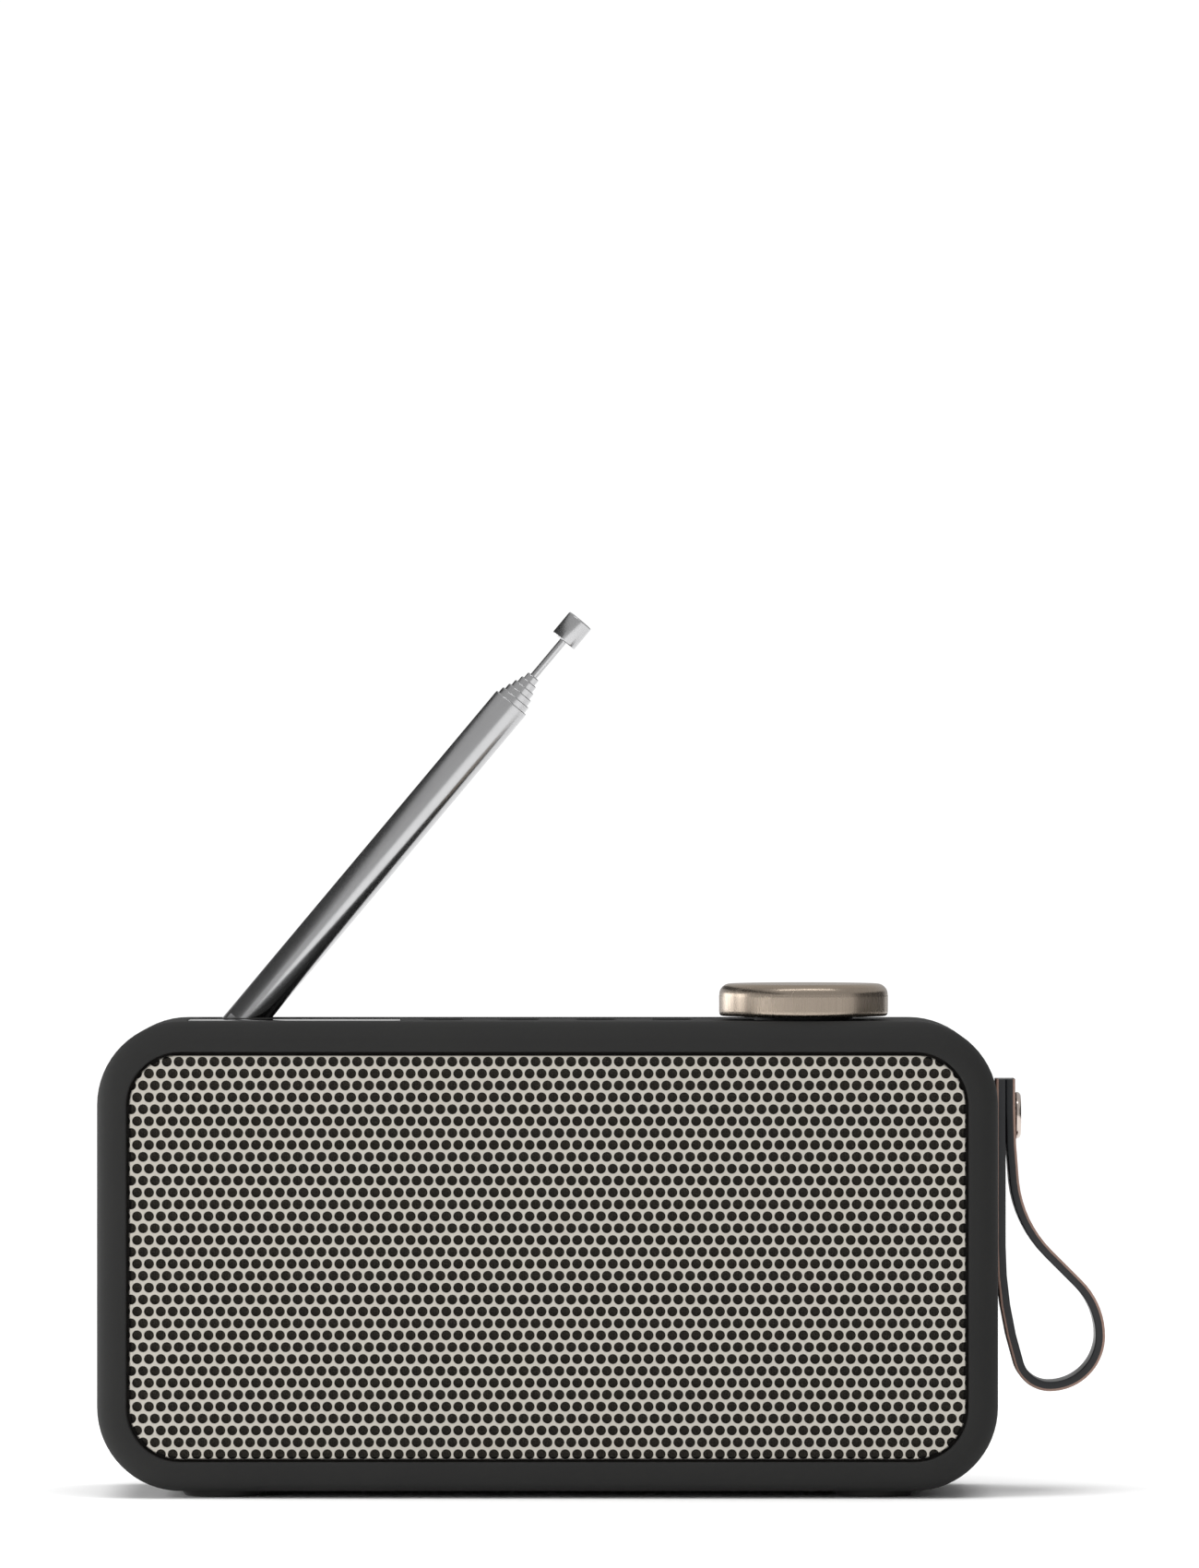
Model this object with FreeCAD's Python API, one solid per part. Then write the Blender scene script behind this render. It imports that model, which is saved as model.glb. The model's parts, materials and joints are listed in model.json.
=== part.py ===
"""Portable tabletop radio: punched front grille, top controls, folding telescopic aerial and leather strap.

Millimetres, +Z up, the front faces -Y. The radio stands on the plane z = 0. The origin is the bottom centre
of the whole object's box, strap included, so the body's own centre lies at x = BODY_X, left of it.
Every function works in the body's frame, where x = 0 is the body's centre, and save() moves the piece across.
"""

import FreeCAD, Part
import math
import os

from FreeCAD import Vector

# ---- driving dimensions: body ----
BODY_W, BODY_D, BODY_H = 188.0, 58.0, 98.0
CORNER_R = 17.5            # corners of the front outline
EDGE_R = 5.5               # rounding from the sides to the front and the back
WALL = 2.6
FOOT_H = 1.4
BORDER = 6.3               # width of the frame round the grille
PARTING_Y = 23.5           # where the rear cover begins
PARTING_GAP = 0.35

FRONT, BACK = -BODY_D / 2, BODY_D / 2
BOTTOM, TOP = FOOT_H, FOOT_H + BODY_H
MID_Z = (BOTTOM + TOP) / 2
SIDE = BODY_W / 2
LIP_BACK = FRONT + WALL    # back of the frame's lip
CEILING = TOP - WALL       # inside of the top wall
FLOOR = BOTTOM + WALL      # inside of the bottom wall

# ---- grille ----
GRILLE_GAP = 0.55
GRILLE_T = 1.0
GRILLE_RECESS = 0.7
HOLE_PITCH = 2.477         # same pitch along and across, alternate rows half a pitch over
HOLE_R = 1.0
HOLE_ROWS = 34
ROWS_DROP = 0.2            # the rows sit this much below the grille's centre

# ---- loudspeakers ----
DRIVER_X = 56.0
DRIVER_PLATE = 54.0
DRIVER_HOLE_R = 26.4
CONE_R = 20.6
BAFFLE_T = 2.5
BAFFLE_BACK = LIP_BACK + BAFFLE_T
SURROUND_T = 0.4
SURROUND_R = 24.0          # outside of the rubber roll
RADIATOR_FRAME_R, RADIATOR_FRAME_T = 29.0, 1.8
BASKET_DEPTH = 15.4        # from the baffle to the face of the magnet
MAGNET_R, MAGNET_T = 17.5, 9.5
COIL_R0, COIL_R1 = 7.1, 7.7    # voice coil former
TERMINAL_X = 22.0          # from the loudspeaker's axis to the tip of its terminal block
LEAD_R = 0.6

# ---- aerial ----
AERIAL_Y = 17.5
AERIAL_DROP = 4.4          # pivot below the top face
AERIAL_PIVOT_X = -67.5
AERIAL_LEAN = 50.0         # degrees above the horizontal, as it stands
TUBE_DIAMETERS = [8.1, 7.05, 6.0, 4.95, 3.9, 2.85]
TUBE_WALL = 0.45
TUBE_PLAY = 0.075          # between a tube's bore and the next tube
TUBE_FOOT = 6.0            # start of the outer tube, from the pivot
INNER_FOOT, FOOT_STEP = 11.8, 0.7    # starts of the inner tubes
TUBE_TOP = 92.9            # end of the outer tube, from the pivot
TUBE_STEP = 1.45           # each inner tube stands out this much
ROD_R = 0.8
ROD_OUT = 9.8
ROD_START = 18.5           # leaves room below for the rod to be pushed right in
TIP_R, TIP_L = 2.95, 5.8
TIP_BORE = 2.0             # depth of the rod's seat in the tip
GROOVE_W = 9.2
GROOVE_X0, GROOVE_X1 = AERIAL_PIVOT_X - 6.5, 57.0
GROOVE_DEPTH = 9.0
GROOVE_WALL = 1.8
PIVOT_Z = TOP - AERIAL_DROP
PIN_R = 1.5
KNUCKLE_T = 4.8            # blade between the bracket's cheeks
CHEEK_T, CHEEK_R = 1.3, 3.7
BRACKET_T = 0.45
CHANNEL_ROOM = (-76.0, 62.0)    # along X, where the rear cover leaves room for the channel

# ---- top controls ----
CONTROL_Y = -6.0
KNOB_X = 53.7
KNOB_R, KNOB_BOTTOM, KNOB_TOP = 17.75, TOP + 0.8, TOP + 7.6
KNOB_TOP_ROUND, KNOB_FOOT_ROUND = 2.3, 0.7
KNOB_SKIRT, KNOB_ROOF = 1.6, 2.6    # thickness of its side and of its top
HUB_R, SHAFT_R = 10.35, 3.0
BUTTON_XS = {"power_button": -22.0, "source_button": -6.0, "preset_button": 10.0, "menu_button": 26.0}
BUTTON_R = 4.25
BUTTON_PROUD = 0.3
WINDOW_X0, WINDOW_X1, WINDOW_Y0, WINDOW_Y1 = -75.5, -31.0, -17.0, 5.0
WINDOW_CORNER, WINDOW_T = 2.0, 1.35
BOARD_T = 1.6
CONTROL_BOARD_Z = 88.0
ENCODER_Z = CONTROL_BOARD_Z + BOARD_T

# ---- strap ----
STRAP_W, STRAP_T = 12.0, 2.0
STRAP_GAP = 0.2            # off the wall
STRAP_TOP_Z = 86.9
STRAP_PIN_Z = 79.15
STUD_R, STUD_T, STUD_ROUND, STUD_SHANK_R = 4.95, 1.15, 0.95, 1.75
STRAP_LEG = 35.0           # straight run down the wall
# The loop after that run: (bend radius, degrees turned), left turns positive. None is the run that closes it.
STRAP_BENDS = [(83.0, 17.4), (6.8, 72.6), (10.6, 90.0), (15.4, 45.0), None, (25.0, -39.0), (150.0, -6.0)]
STRAP_CLEFT = 0.25         # gap where the two legs part

# ---- battery ----
CELL_R, CELL_L, CELL_Z = 9.2, 65.0, 15.0
CELL_YS = (-11.0, 8.0)

# ---- feet and fasteners ----
FOOT_X, FOOT_Y, FOOT_R, FOOT_SINK = 68.2, 14.0, 8.65, 0.6
COVER_SCREWS = [(-82.5, 12.0), (82.5, 12.0), (-82.5, 88.8), (82.5, 88.8), (-46.0, 8.6), (46.0, 8.6)]
CORNER_BOSS_R, FLOOR_BOSS_R = 6.4, 4.6
BOSS_Y0, BOSS_Y1 = 0.0, 20.3
COVER_SCREW_WELL = 5.0     # depth of the screw heads' seats below the back
BOARD_POSTS = [(-41.0, 32.0), (41.0, 32.0), (-41.0, 76.0), (41.0, 76.0)]
CONTROL_POSTS = [(-28.5, 3.5), (-28.5, -15.5), (32.0, 3.5), (32.0, -15.5)]
MAIN_BOARD_Y = 6.0

# ---- back panel ports ----
PORT_Z = 20.0
USB_X, AUX_X, LED_X = 54.0, 66.0, 73.5
AUX_R = 1.8
PORT_BOARD_Y, PORT_BOARD_T = 12.4, 1.2
SOCKET_Y = PORT_BOARD_Y + PORT_BOARD_T
BAY_X0, BAY_X1, BAY_HALF_H, BAY_DEPTH = 44.0, 78.0, 6.0, 1.2

X_AXIS, Y_AXIS, Z_AXIS = Vector(1, 0, 0), Vector(0, 1, 0), Vector(0, 0, 1)


# ---- small helpers ----
def box(x0, x1, y0, y1, z0, z1):
    """A box between two corners."""
    return Part.makeBox(x1 - x0, y1 - y0, z1 - z0, Vector(x0, y0, z0))


def along_x(radius, x0, x1, y, z):
    """A cylinder along X."""
    return Part.makeCylinder(radius, x1 - x0, Vector(x0, y, z), X_AXIS)


def along_y(radius, y0, y1, x, z):
    """A cylinder along Y."""
    return Part.makeCylinder(radius, y1 - y0, Vector(x, y0, z), Y_AXIS)


def upright(radius, z0, z1, x, y):
    """A cylinder along Z."""
    return Part.makeCylinder(radius, z1 - z0, Vector(x, y, z0), Z_AXIS)


def fuse(shapes):
    """One solid from several that meet."""
    first, *rest = shapes
    return first.multiFuse(rest).removeSplitter() if rest else first


def without(shape, cutters):
    """The shape less every cutter."""
    return shape.cut(Part.makeCompound(list(cutters)))


def loop(points):
    """A closed face through straight runs."""
    return Part.Face(Part.makePolygon([Vector(*p) for p in points + points[:1]]))


def turned(profile, x, z):
    """A solid of revolution about the Y axis through (x, z), from (radius, y) points."""
    face = loop([(x + r, y, z) for r, y in profile])
    return face.revolve(Vector(x, 0, z), Y_AXIS, 360)


def rounded_outline(width, height, radius, y, z_mid=MID_Z, x_mid=0.0):
    """A rounded rectangle in the XZ plane, as a wire."""
    w, h = width / 2 - radius, height / 2 - radius
    edges = []
    corners = [(w, h, 0), (-w, h, 90), (-w, -h, 180), (w, -h, 270)]
    for i, (cx, cz, start) in enumerate(corners):
        def on_arc(degrees, cx=cx, cz=cz):
            a = math.radians(degrees)
            return Vector(x_mid + cx + radius * math.cos(a), y, z_mid + cz + radius * math.sin(a))
        edges.append(Part.Arc(on_arc(start), on_arc(start + 45), on_arc(start + 90)).toShape())
        nx, nz, nstart = corners[(i + 1) % 4]
        a = math.radians(nstart)
        target = Vector(x_mid + nx + radius * math.cos(a), y, z_mid + nz + radius * math.sin(a))
        edges.append(Part.LineSegment(on_arc(start + 90), target).toShape())
    return Part.Wire(edges)


def rounded_prism(width, height, radius, y0, y1, z_mid=MID_Z, x_mid=0.0):
    """A rounded rectangle in the XZ plane, drawn out along Y."""
    face = Part.Face(rounded_outline(width, height, radius, y0, z_mid, x_mid))
    return face.extrude(Vector(0, y1 - y0, 0))


def rounded_slab(x0, x1, y0, y1, z0, z1, radius):
    """A box with rounded upright edges."""
    slab = box(x0, x1, y0, y1, z0, z1)
    return slab.makeFillet(radius, [e for e in slab.Edges if abs(e.tangentAt(0).z) > 0.99])


def groove_prism(x0, x1, half_width, z0, z1):
    """The aerial's round-ended channel, seen from above."""
    ends = [upright(half_width, z0, z1, x, AERIAL_Y) for x in (x0 + half_width, x1 - half_width)]
    middle = box(x0 + half_width, x1 - half_width, AERIAL_Y - half_width, AERIAL_Y + half_width, z0, z1)
    return fuse([middle] + ends)


def lead(points, radius, bend=0.45):
    """A round wire along straight runs joined by tangent arcs, each as large as its two runs allow."""
    points = [Vector(*p) for p in points]
    edges, here = [], points[0]
    for before, corner, after in zip(points, points[1:], points[2:]):
        back, on = (before - corner).normalize(), (after - corner).normalize()
        turn = math.pi - back.getAngle(on)
        run = min(corner.distanceToPoint(before), corner.distanceToPoint(after))
        cut = bend * run
        bend_r = cut / math.tan(turn / 2)
        start, end = corner + back * cut, corner + on * cut
        middle = corner + (back + on).normalize() * (bend_r / math.cos(turn / 2) - bend_r)
        edges.append(Part.LineSegment(here, start).toShape())
        edges.append(Part.Arc(start, middle, end).toShape())
        here = end
        print(f"lead bend radius {bend_r:.1f} mm for a {2 * radius:.1f} mm wire")
    edges.append(Part.LineSegment(here, points[-1]).toShape())
    path = Part.Wire(edges)
    section = Part.Wire(Part.makeCircle(radius, points[0], points[1] - points[0]))
    wire = path.makePipeShell([section], True, False)
    if abs(wire.Volume - math.pi * radius**2 * path.Length) > 0.02 * wire.Volume:
        raise ValueError("a lead's volume isn't its section times its length")
    return wire


# ---- body shells ----
def body_block():
    """The whole outside of the body, front and back edges rounded."""
    block = rounded_prism(BODY_W, BODY_H, CORNER_R, FRONT, BACK)
    ends = [e for e in block.Edges if all(abs(abs(v.Y) - BACK) < 1e-6 for v in e.Vertexes)]
    ends = [e for e in ends if e.Vertexes[0].Y * e.Vertexes[-1].Y > 0]
    return block.makeFillet(EDGE_R, ends)


def cavity(y0, y1, inset=WALL):
    """The room inside the walls."""
    return rounded_prism(BODY_W - 2 * inset, BODY_H - 2 * inset, CORNER_R - inset, y0, y1)


def strap_boss():
    """The boss inside the right wall that holds the strap's insert."""
    return along_x(4.6, SIDE - WALL - 5.5, SIDE - WALL / 2, 0, STRAP_PIN_Z)


def front_housing():
    """The main moulding: frame, four walls, aerial channel and screw bosses."""
    block = body_block().common(box(-SIDE, SIDE, FRONT, PARTING_Y, BOTTOM, TOP))
    room = cavity(LIP_BACK, BACK)
    width, height = BODY_W - 2 * BORDER, BODY_H - 2 * BORDER
    opening = rounded_prism(width, height, CORNER_R - BORDER, FRONT - 1, LIP_BACK + 1)
    shell = block.cut(room).cut(opening)
    inner_edges = [e for e in shell.Edges if on_lip_edge(e)]
    shell = shell.makeFillet(0.4, inner_edges)

    bosses = [along_y(CORNER_BOSS_R if abs(x) > 60 else FLOOR_BOSS_R, BOSS_Y0, BOSS_Y1, x, z).common(room)
              for x, z in COVER_SCREWS]
    posts = [upright(2.5, CONTROL_BOARD_Z + BOARD_T, CEILING + 0.5, x, y) for x, y in CONTROL_POSTS]
    half = GROOVE_W / 2
    channel = groove_prism(GROOVE_X0 - GROOVE_WALL, GROOVE_X1 + GROOVE_WALL, half + GROOVE_WALL,
                           TOP - GROOVE_DEPTH - GROOVE_WALL, TOP - WALL / 2)
    channel = channel.common(box(-SIDE, SIDE, FRONT, PARTING_Y, BOTTOM, TOP))
    shell = fuse([shell, channel, strap_boss()] + bosses + posts)

    cutters = [groove_prism(GROOVE_X0, GROOVE_X1, half, TOP - GROOVE_DEPTH, TOP + 1)]
    cutters += [upright(1.6, CEILING - 12, TOP - GROOVE_DEPTH + 1, AERIAL_PIVOT_X, AERIAL_Y)]
    cutters += [upright(HUB_R + 0.35, CEILING - 1, TOP + 1, KNOB_X, CONTROL_Y)]
    cutters += [upright(BUTTON_R + 0.2, CEILING - 1, TOP + 1, x, CONTROL_Y) for x in BUTTON_XS.values()]
    cutters += [rounded_slab(WINDOW_X0 - 0.15, WINDOW_X1 + 0.15, WINDOW_Y0 - 0.15, WINDOW_Y1 + 0.15,
                             TOP - 1.4, TOP + 1, 2.15)]
    cutters += [rounded_slab(WINDOW_X0 + 4, WINDOW_X1 - 4, WINDOW_Y0 + 3, WINDOW_Y1 - 3,
                             CEILING - 1, TOP, 1.0)]
    cutters += [upright(FOOT_R + 0.2, BOTTOM - 1, BOTTOM + FOOT_SINK, sx * FOOT_X, sy * FOOT_Y)
                for sx in (-1, 1) for sy in (-1, 1)]
    cutters += [along_y(1.1, BOSS_Y1 - 12, BOSS_Y1 + 1, x, z) for x, z in COVER_SCREWS]
    cutters += [upright(0.8, CONTROL_BOARD_Z, CEILING - 0.5, x, y) for x, y in CONTROL_POSTS]
    cutters += [along_x(2.8, SIDE - WALL - 6, SIDE - 0.6, 0, STRAP_PIN_Z)]
    cutters += [along_x(2.0, SIDE - 1, SIDE + 1, 0, STRAP_PIN_Z)]
    return without(shell, cutters)


def on_lip_edge(edge):
    """True for the front edges of the grille's opening."""
    if any(abs(v.Y - FRONT) > 1e-6 for v in edge.Vertexes):
        return False
    b = edge.BoundBox
    return max(abs(b.XMin), abs(b.XMax)) < SIDE - BORDER + 0.01 and b.ZMax < TOP - BORDER + 0.01


def vent_points():
    """Centres of the bass vents in the rear cover: staggered rows inside a circle."""
    pitch, reach = 4.2, 23.0
    for row in range(-6, 7):
        z = row * pitch * 0.866
        for column in range(-6, 7):
            x = (column + 0.5 * (row % 2)) * pitch
            if math.hypot(x, z) < reach:
                yield x, MID_Z + z


def rear_cover():
    """The back panel with its rounded rim, locating tongue, screw tubes, vents and port bay."""
    y0 = PARTING_Y + PARTING_GAP
    panel = body_block().common(box(-SIDE, SIDE, y0, BACK, BOTTOM, TOP))
    tongue = cavity(BOSS_Y1 + 0.2, BACK - 2, WALL + 0.2)
    rim = without(tongue, [box(*CHANNEL_ROOM, 0, y0 - 0.1, 86, TOP)])
    room = cavity(0, BACK - WALL, WALL + 1.8)
    tubes = [along_y(4.3, BOSS_Y1 + 0.2, BACK - 1, x, z) for x, z in COVER_SCREWS]
    board_posts = [along_y(2.6, MAIN_BOARD_Y + BOARD_T, BACK - 1, x, z) for x, z in BOARD_POSTS]
    cover = fuse([panel.fuse(rim).cut(room)] + [t.common(body_block()) for t in tubes] + board_posts)

    cutters = [box(*CHANNEL_ROOM, 0, y0 - 0.1, 87, TOP)]
    cutters += [along_y(1.6, 0, BACK + 1, x, z) for x, z in COVER_SCREWS]
    cutters += [along_y(3.1, BACK - COVER_SCREW_WELL, BACK + 1, x, z) for x, z in COVER_SCREWS]
    cutters += [along_y(0.8, MAIN_BOARD_Y, MAIN_BOARD_Y + BOARD_T + 8, x, z) for x, z in BOARD_POSTS]
    cutters += [along_y(1.1, BACK - WALL - 1, BACK + 1, x, z) for x, z in vent_points()]
    bay_mid, bay_w = (BAY_X0 + BAY_X1) / 2, BAY_X1 - BAY_X0
    cutters += [rounded_prism(bay_w, 2 * BAY_HALF_H, 3.0, BACK - BAY_DEPTH, BACK + 1, PORT_Z, bay_mid)]
    cutters += [rounded_prism(9.4, 3.7, 1.8, BACK - WALL - 1, BACK + 1, PORT_Z, USB_X)]
    cutters += [along_y(3.1, BACK - WALL - 1, BACK + 1, AUX_X, PORT_Z)]
    cutters += [along_y(1.1, BACK - WALL - 1, BACK + 1, LED_X, PORT_Z)]
    return without(cover, cutters)


def feet():
    """Four separate rubber feet, each tapered towards the table and let into the floor."""
    made = []
    for x in (-FOOT_X, FOOT_X):
        for y in (-FOOT_Y, FOOT_Y):
            pad = Part.makeCone(FOOT_R - 1.0, FOOT_R, BOTTOM, Vector(x, y, 0), Z_AXIS)
            pad = pad.makeFillet(0.4, [e for e in pad.Edges if abs(e.BoundBox.ZMax) < 1e-6])
            made.append(fuse([pad, upright(FOOT_R, BOTTOM, BOTTOM + FOOT_SINK, x, y)]))
    return Part.makeCompound(made)


# ---- front ----
def hole_centres():
    """Every place of the grille's pattern that lies near the sheet: (x, z)."""
    across = int(BODY_W / 2 / HOLE_PITCH) + 1
    for row in range(HOLE_ROWS):
        z = MID_Z - ROWS_DROP + ((HOLE_ROWS - 1) / 2 - row) * HOLE_PITCH
        for column in range(-across, across + 1):
            yield (column + 0.5 * (row % 2)) * HOLE_PITCH, z


def grille():
    """The perforated front sheet. Its holes run out over its edge, as in a sheet cut from stock."""
    width = BODY_W - 2 * BORDER - 2 * GRILLE_GAP
    height = BODY_H - 2 * BORDER - 2 * GRILLE_GAP
    radius = CORNER_R - BORDER - GRILLE_GAP
    y0 = FRONT + GRILLE_RECESS
    margin = 0.12

    def depth_inside(x, z):
        """How far a point lies inside the sheet's outline, negative outside."""
        dx = abs(x) - (width / 2 - radius)
        dz = abs(z - MID_Z) - (height / 2 - radius)
        outside = math.hypot(max(dx, 0), max(dz, 0))
        return radius - (outside if max(dx, dz) > 0 else max(dx, dz))

    whole, cut = [], []
    for x, z in hole_centres():
        depth = depth_inside(x, z)
        if depth > HOLE_R + margin:
            whole.append((x, z))
        elif depth > margin - HOLE_R:
            cut.append((x, z))
    blank = rounded_prism(width, height, radius, y0, y0 + GRILLE_T)
    blank = without(blank, [along_y(HOLE_R, y0 - 1, y0 + GRILLE_T + 1, x, z) for x, z in cut])
    front = max((f for f in blank.Faces if abs(f.BoundBox.YMax - y0) < 1e-6), key=lambda f: f.Area)
    holes = [Part.Wire(Part.makeCircle(HOLE_R, Vector(x, y0, z), Y_AXIS)) for x, z in whole]
    sheet = Part.Face([front.OuterWire] + holes)
    sheet.validate()
    print(f"grille: {len(whole)} whole holes and {len(cut)} at the edge")
    return sheet.extrude(Vector(0, GRILLE_T, 0))


def acoustic_cloth():
    """The dark scrim behind the grille."""
    y0 = FRONT + GRILLE_RECESS + GRILLE_T
    return rounded_prism(BODY_W - 2 * BORDER - 2, BODY_H - 2 * BORDER - 2, 10, y0 + 0.05, y0 + 0.35)


def grille_gasket():
    """The foam ring that bonds the grille and its cloth to the baffle."""
    y0 = FRONT + GRILLE_RECESS + GRILLE_T + 0.35
    width, height = BODY_W - 2 * BORDER - 2, BODY_H - 2 * BORDER - 2
    ring = rounded_prism(width, height, 10, y0, LIP_BACK)
    return ring.cut(rounded_prism(width - 8, height - 8, 6.5, y0 - 1, LIP_BACK + 1))


def speaker_baffle():
    """The plate behind the lip that carries both loudspeakers."""
    plate = rounded_prism(BODY_W - 2 * WALL - 0.4, BODY_H - 2 * WALL - 0.4, 14.5, LIP_BACK, BAFFLE_BACK)
    cutters = [along_y(DRIVER_HOLE_R, LIP_BACK - 1, BAFFLE_BACK + 1, s * DRIVER_X, MID_Z) for s in (-1, 1)]
    cutters += [along_y(1.2, LIP_BACK + 0.6, BAFFLE_BACK + 1, x, z)
                for s in (-1, 1) for x, z in driver_screw_points(s * DRIVER_X)]
    return without(plate, cutters)


def driver_screw_points(x):
    """The four fixing holes of the loudspeaker centred at x."""
    reach = DRIVER_PLATE / 2 - 4.2
    return [(x + sx * reach, MID_Z + sz * reach) for sx in (-1, 1) for sz in (-1, 1)]


def driver_basket(x):
    """The pressed frame of one loudspeaker: mounting plate, spokes and rear ring."""
    y0 = BAFFLE_BACK
    plate = rounded_prism(DRIVER_PLATE, DRIVER_PLATE, 8, y0, y0 + 1.6, MID_Z, x)
    plate = plate.cut(along_y(24.2, y0 - 1, y0 + 3, x, MID_Z))
    y1, floor_y = y0 + BASKET_DEPTH, y0 + BASKET_DEPTH - 1.4
    bell = turned([(24.2, y0 + 1.2), (26.0, y0 + 1.2), (26.0, y0 + 2.4), (18.4, y1 - 1.0), (18.4, y1),
                   (9.6, y1), (9.6, floor_y), (17.0, floor_y), (24.2, y0 + 2.6)], x, MID_Z)
    windows = [box(x - 5.5, x + 5.5, y0 + 4.5, y0 + 12.2, MID_Z - 30, MID_Z + 30),
               box(x - 30, x + 30, y0 + 4.5, y0 + 12.2, MID_Z - 5.5, MID_Z + 5.5)]
    holes = [along_y(1.3, y0 - 1, y0 + 3, px, pz) for px, pz in driver_screw_points(x)]
    near, far = sorted((x - math.copysign(TERMINAL_X, x), x - math.copysign(17.0, x)))
    terminal = box(near, far, y1 - 2.4, y1, MID_Z - 3, MID_Z + 3)
    return fuse([without(plate.fuse(bell), windows + holes), terminal])


def driver_magnet(x):
    """Magnet, plates and pole piece, with the annular gap for the voice coil."""
    y0, y1 = BAFFLE_BACK + BASKET_DEPTH, BAFFLE_BACK + BASKET_DEPTH + MAGNET_T
    room = 0.7
    gap = turned([(COIL_R0 - room, y0 - 1), (COIL_R1 + room, y0 - 1),
                  (COIL_R1 + room, y1 - 2), (COIL_R0 - room, y1 - 2)], x, MID_Z)
    disc = along_y(MAGNET_R, y0, y1, x, MID_Z)
    disc = disc.makeChamfer(0.6, [e for e in disc.Edges if abs(e.BoundBox.YMin - y1) < 1e-6])
    return disc.cut(gap)


def driver_cone(x):
    """Paper cone with its rim, dust cap and voice coil former, which move as one."""
    y0 = BAFFLE_BACK + 0.15
    outline = [(CONE_R, y0), (CONE_R, y0 + 0.4), (CONE_R - 2.0, y0 + 0.4), (COIL_R1, y0 + 9.6),
               (COIL_R1, y0 + 20.0), (COIL_R0, y0 + 20.0), (COIL_R0, y0 + 8.8), (8.4, y0 + 8.3),
               (CONE_R - 2.2, y0)]
    shell = turned(outline, x, MID_Z)
    dome = Part.makeSphere(12.0, Vector(x, y0 + 17.2, MID_Z))
    dome = dome.cut(Part.makeSphere(11.5, Vector(x, y0 + 17.2, MID_Z)))
    cap = dome.common(along_y(8.2, y0 + 4, y0 + 8.9, x, MID_Z))
    return fuse([shell, cap])


def roll_surround(x, y):
    """A half-roll rubber ring between the moving rim and the frame, bulging forwards from its flanges."""
    middle, roll = (CONE_R + SURROUND_R) / 2, (SURROUND_R - CONE_R) / 2
    half = SURROUND_T / 2

    def bow(radius):
        return [(middle + radius * math.cos(a), y - radius * math.sin(a))
                for a in (math.radians(d) for d in range(0, 181, 20))]

    body = turned(bow(roll + half)[::-1] + bow(roll - half), x, MID_Z)
    y1 = y + SURROUND_T
    flanges = [turned([(r0, y), (r1, y), (r1, y1), (r0, y1)], x, MID_Z)
               for r0, r1 in ((CONE_R - 1.8, CONE_R + 0.2), (SURROUND_R - 0.2, SURROUND_R + 1.8))]
    return fuse([body] + flanges)


def screw(head, direction, reach, head_r=1.9, head_t=1.1, shank_r=0.8):
    """A cross-head screw whose head bears at a point and whose shank runs in a direction."""
    head, direction = Vector(*head), Vector(*direction)
    top = head - direction * head_t
    made = Part.makeCylinder(head_r, head_t, top, direction)
    made = made.fuse(Part.makeCylinder(shank_r, reach, head, direction))
    arm = box(-head_r * 0.6, head_r * 0.6, -0.22, 0.22, -1, 0.6)
    arm = arm.fuse(arm.rotated(Vector(), Z_AXIS, 90))
    arm.Placement = FreeCAD.Placement(top, FreeCAD.Rotation(Z_AXIS, direction))
    return made.cut(arm)


def driver_screws():
    """Eight screws that hold both loudspeakers to the baffle, from behind."""
    y = BAFFLE_BACK + 1.6
    return Part.makeCompound([screw((px, y, pz), (0, -1, 0), 3.4, shank_r=1.2)
                              for s in (-1, 1) for px, pz in driver_screw_points(s * DRIVER_X)])


# ---- bass radiator at the back ----
def radiator_frame():
    """Ring that holds the passive radiator to the rear cover."""
    y1 = BACK - WALL
    y0, inner = y1 - RADIATOR_FRAME_T, SURROUND_R + 0.2
    return turned([(inner, y0), (RADIATOR_FRAME_R, y0), (RADIATOR_FRAME_R, y1), (inner, y1)], 0, MID_Z)


def radiator_plate():
    """Weighted disc of the passive radiator."""
    y1 = BACK - WALL - RADIATOR_FRAME_T - SURROUND_T - 0.1
    y0, radius = y1 - 1.2, CONE_R - 0.5
    return turned([(0, y0 - 1.5), (8, y0 - 1.5), (9.5, y0), (radius, y0), (radius, y1), (0, y1)], 0, MID_Z)


# ---- aerial ----
def leaning(shape):
    """Turns a mast piece from upright to its lean, about the pivot."""
    shape.rotate(Vector(AERIAL_PIVOT_X, AERIAL_Y, PIVOT_Z), Y_AXIS, 90 - AERIAL_LEAN)
    return shape


def mast_cylinder(radius, low, high):
    """A cylinder on the mast's axis, between two distances from the pivot, before leaning."""
    return upright(radius, PIVOT_Z + low, PIVOT_Z + high, AERIAL_PIVOT_X, AERIAL_Y)


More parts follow.
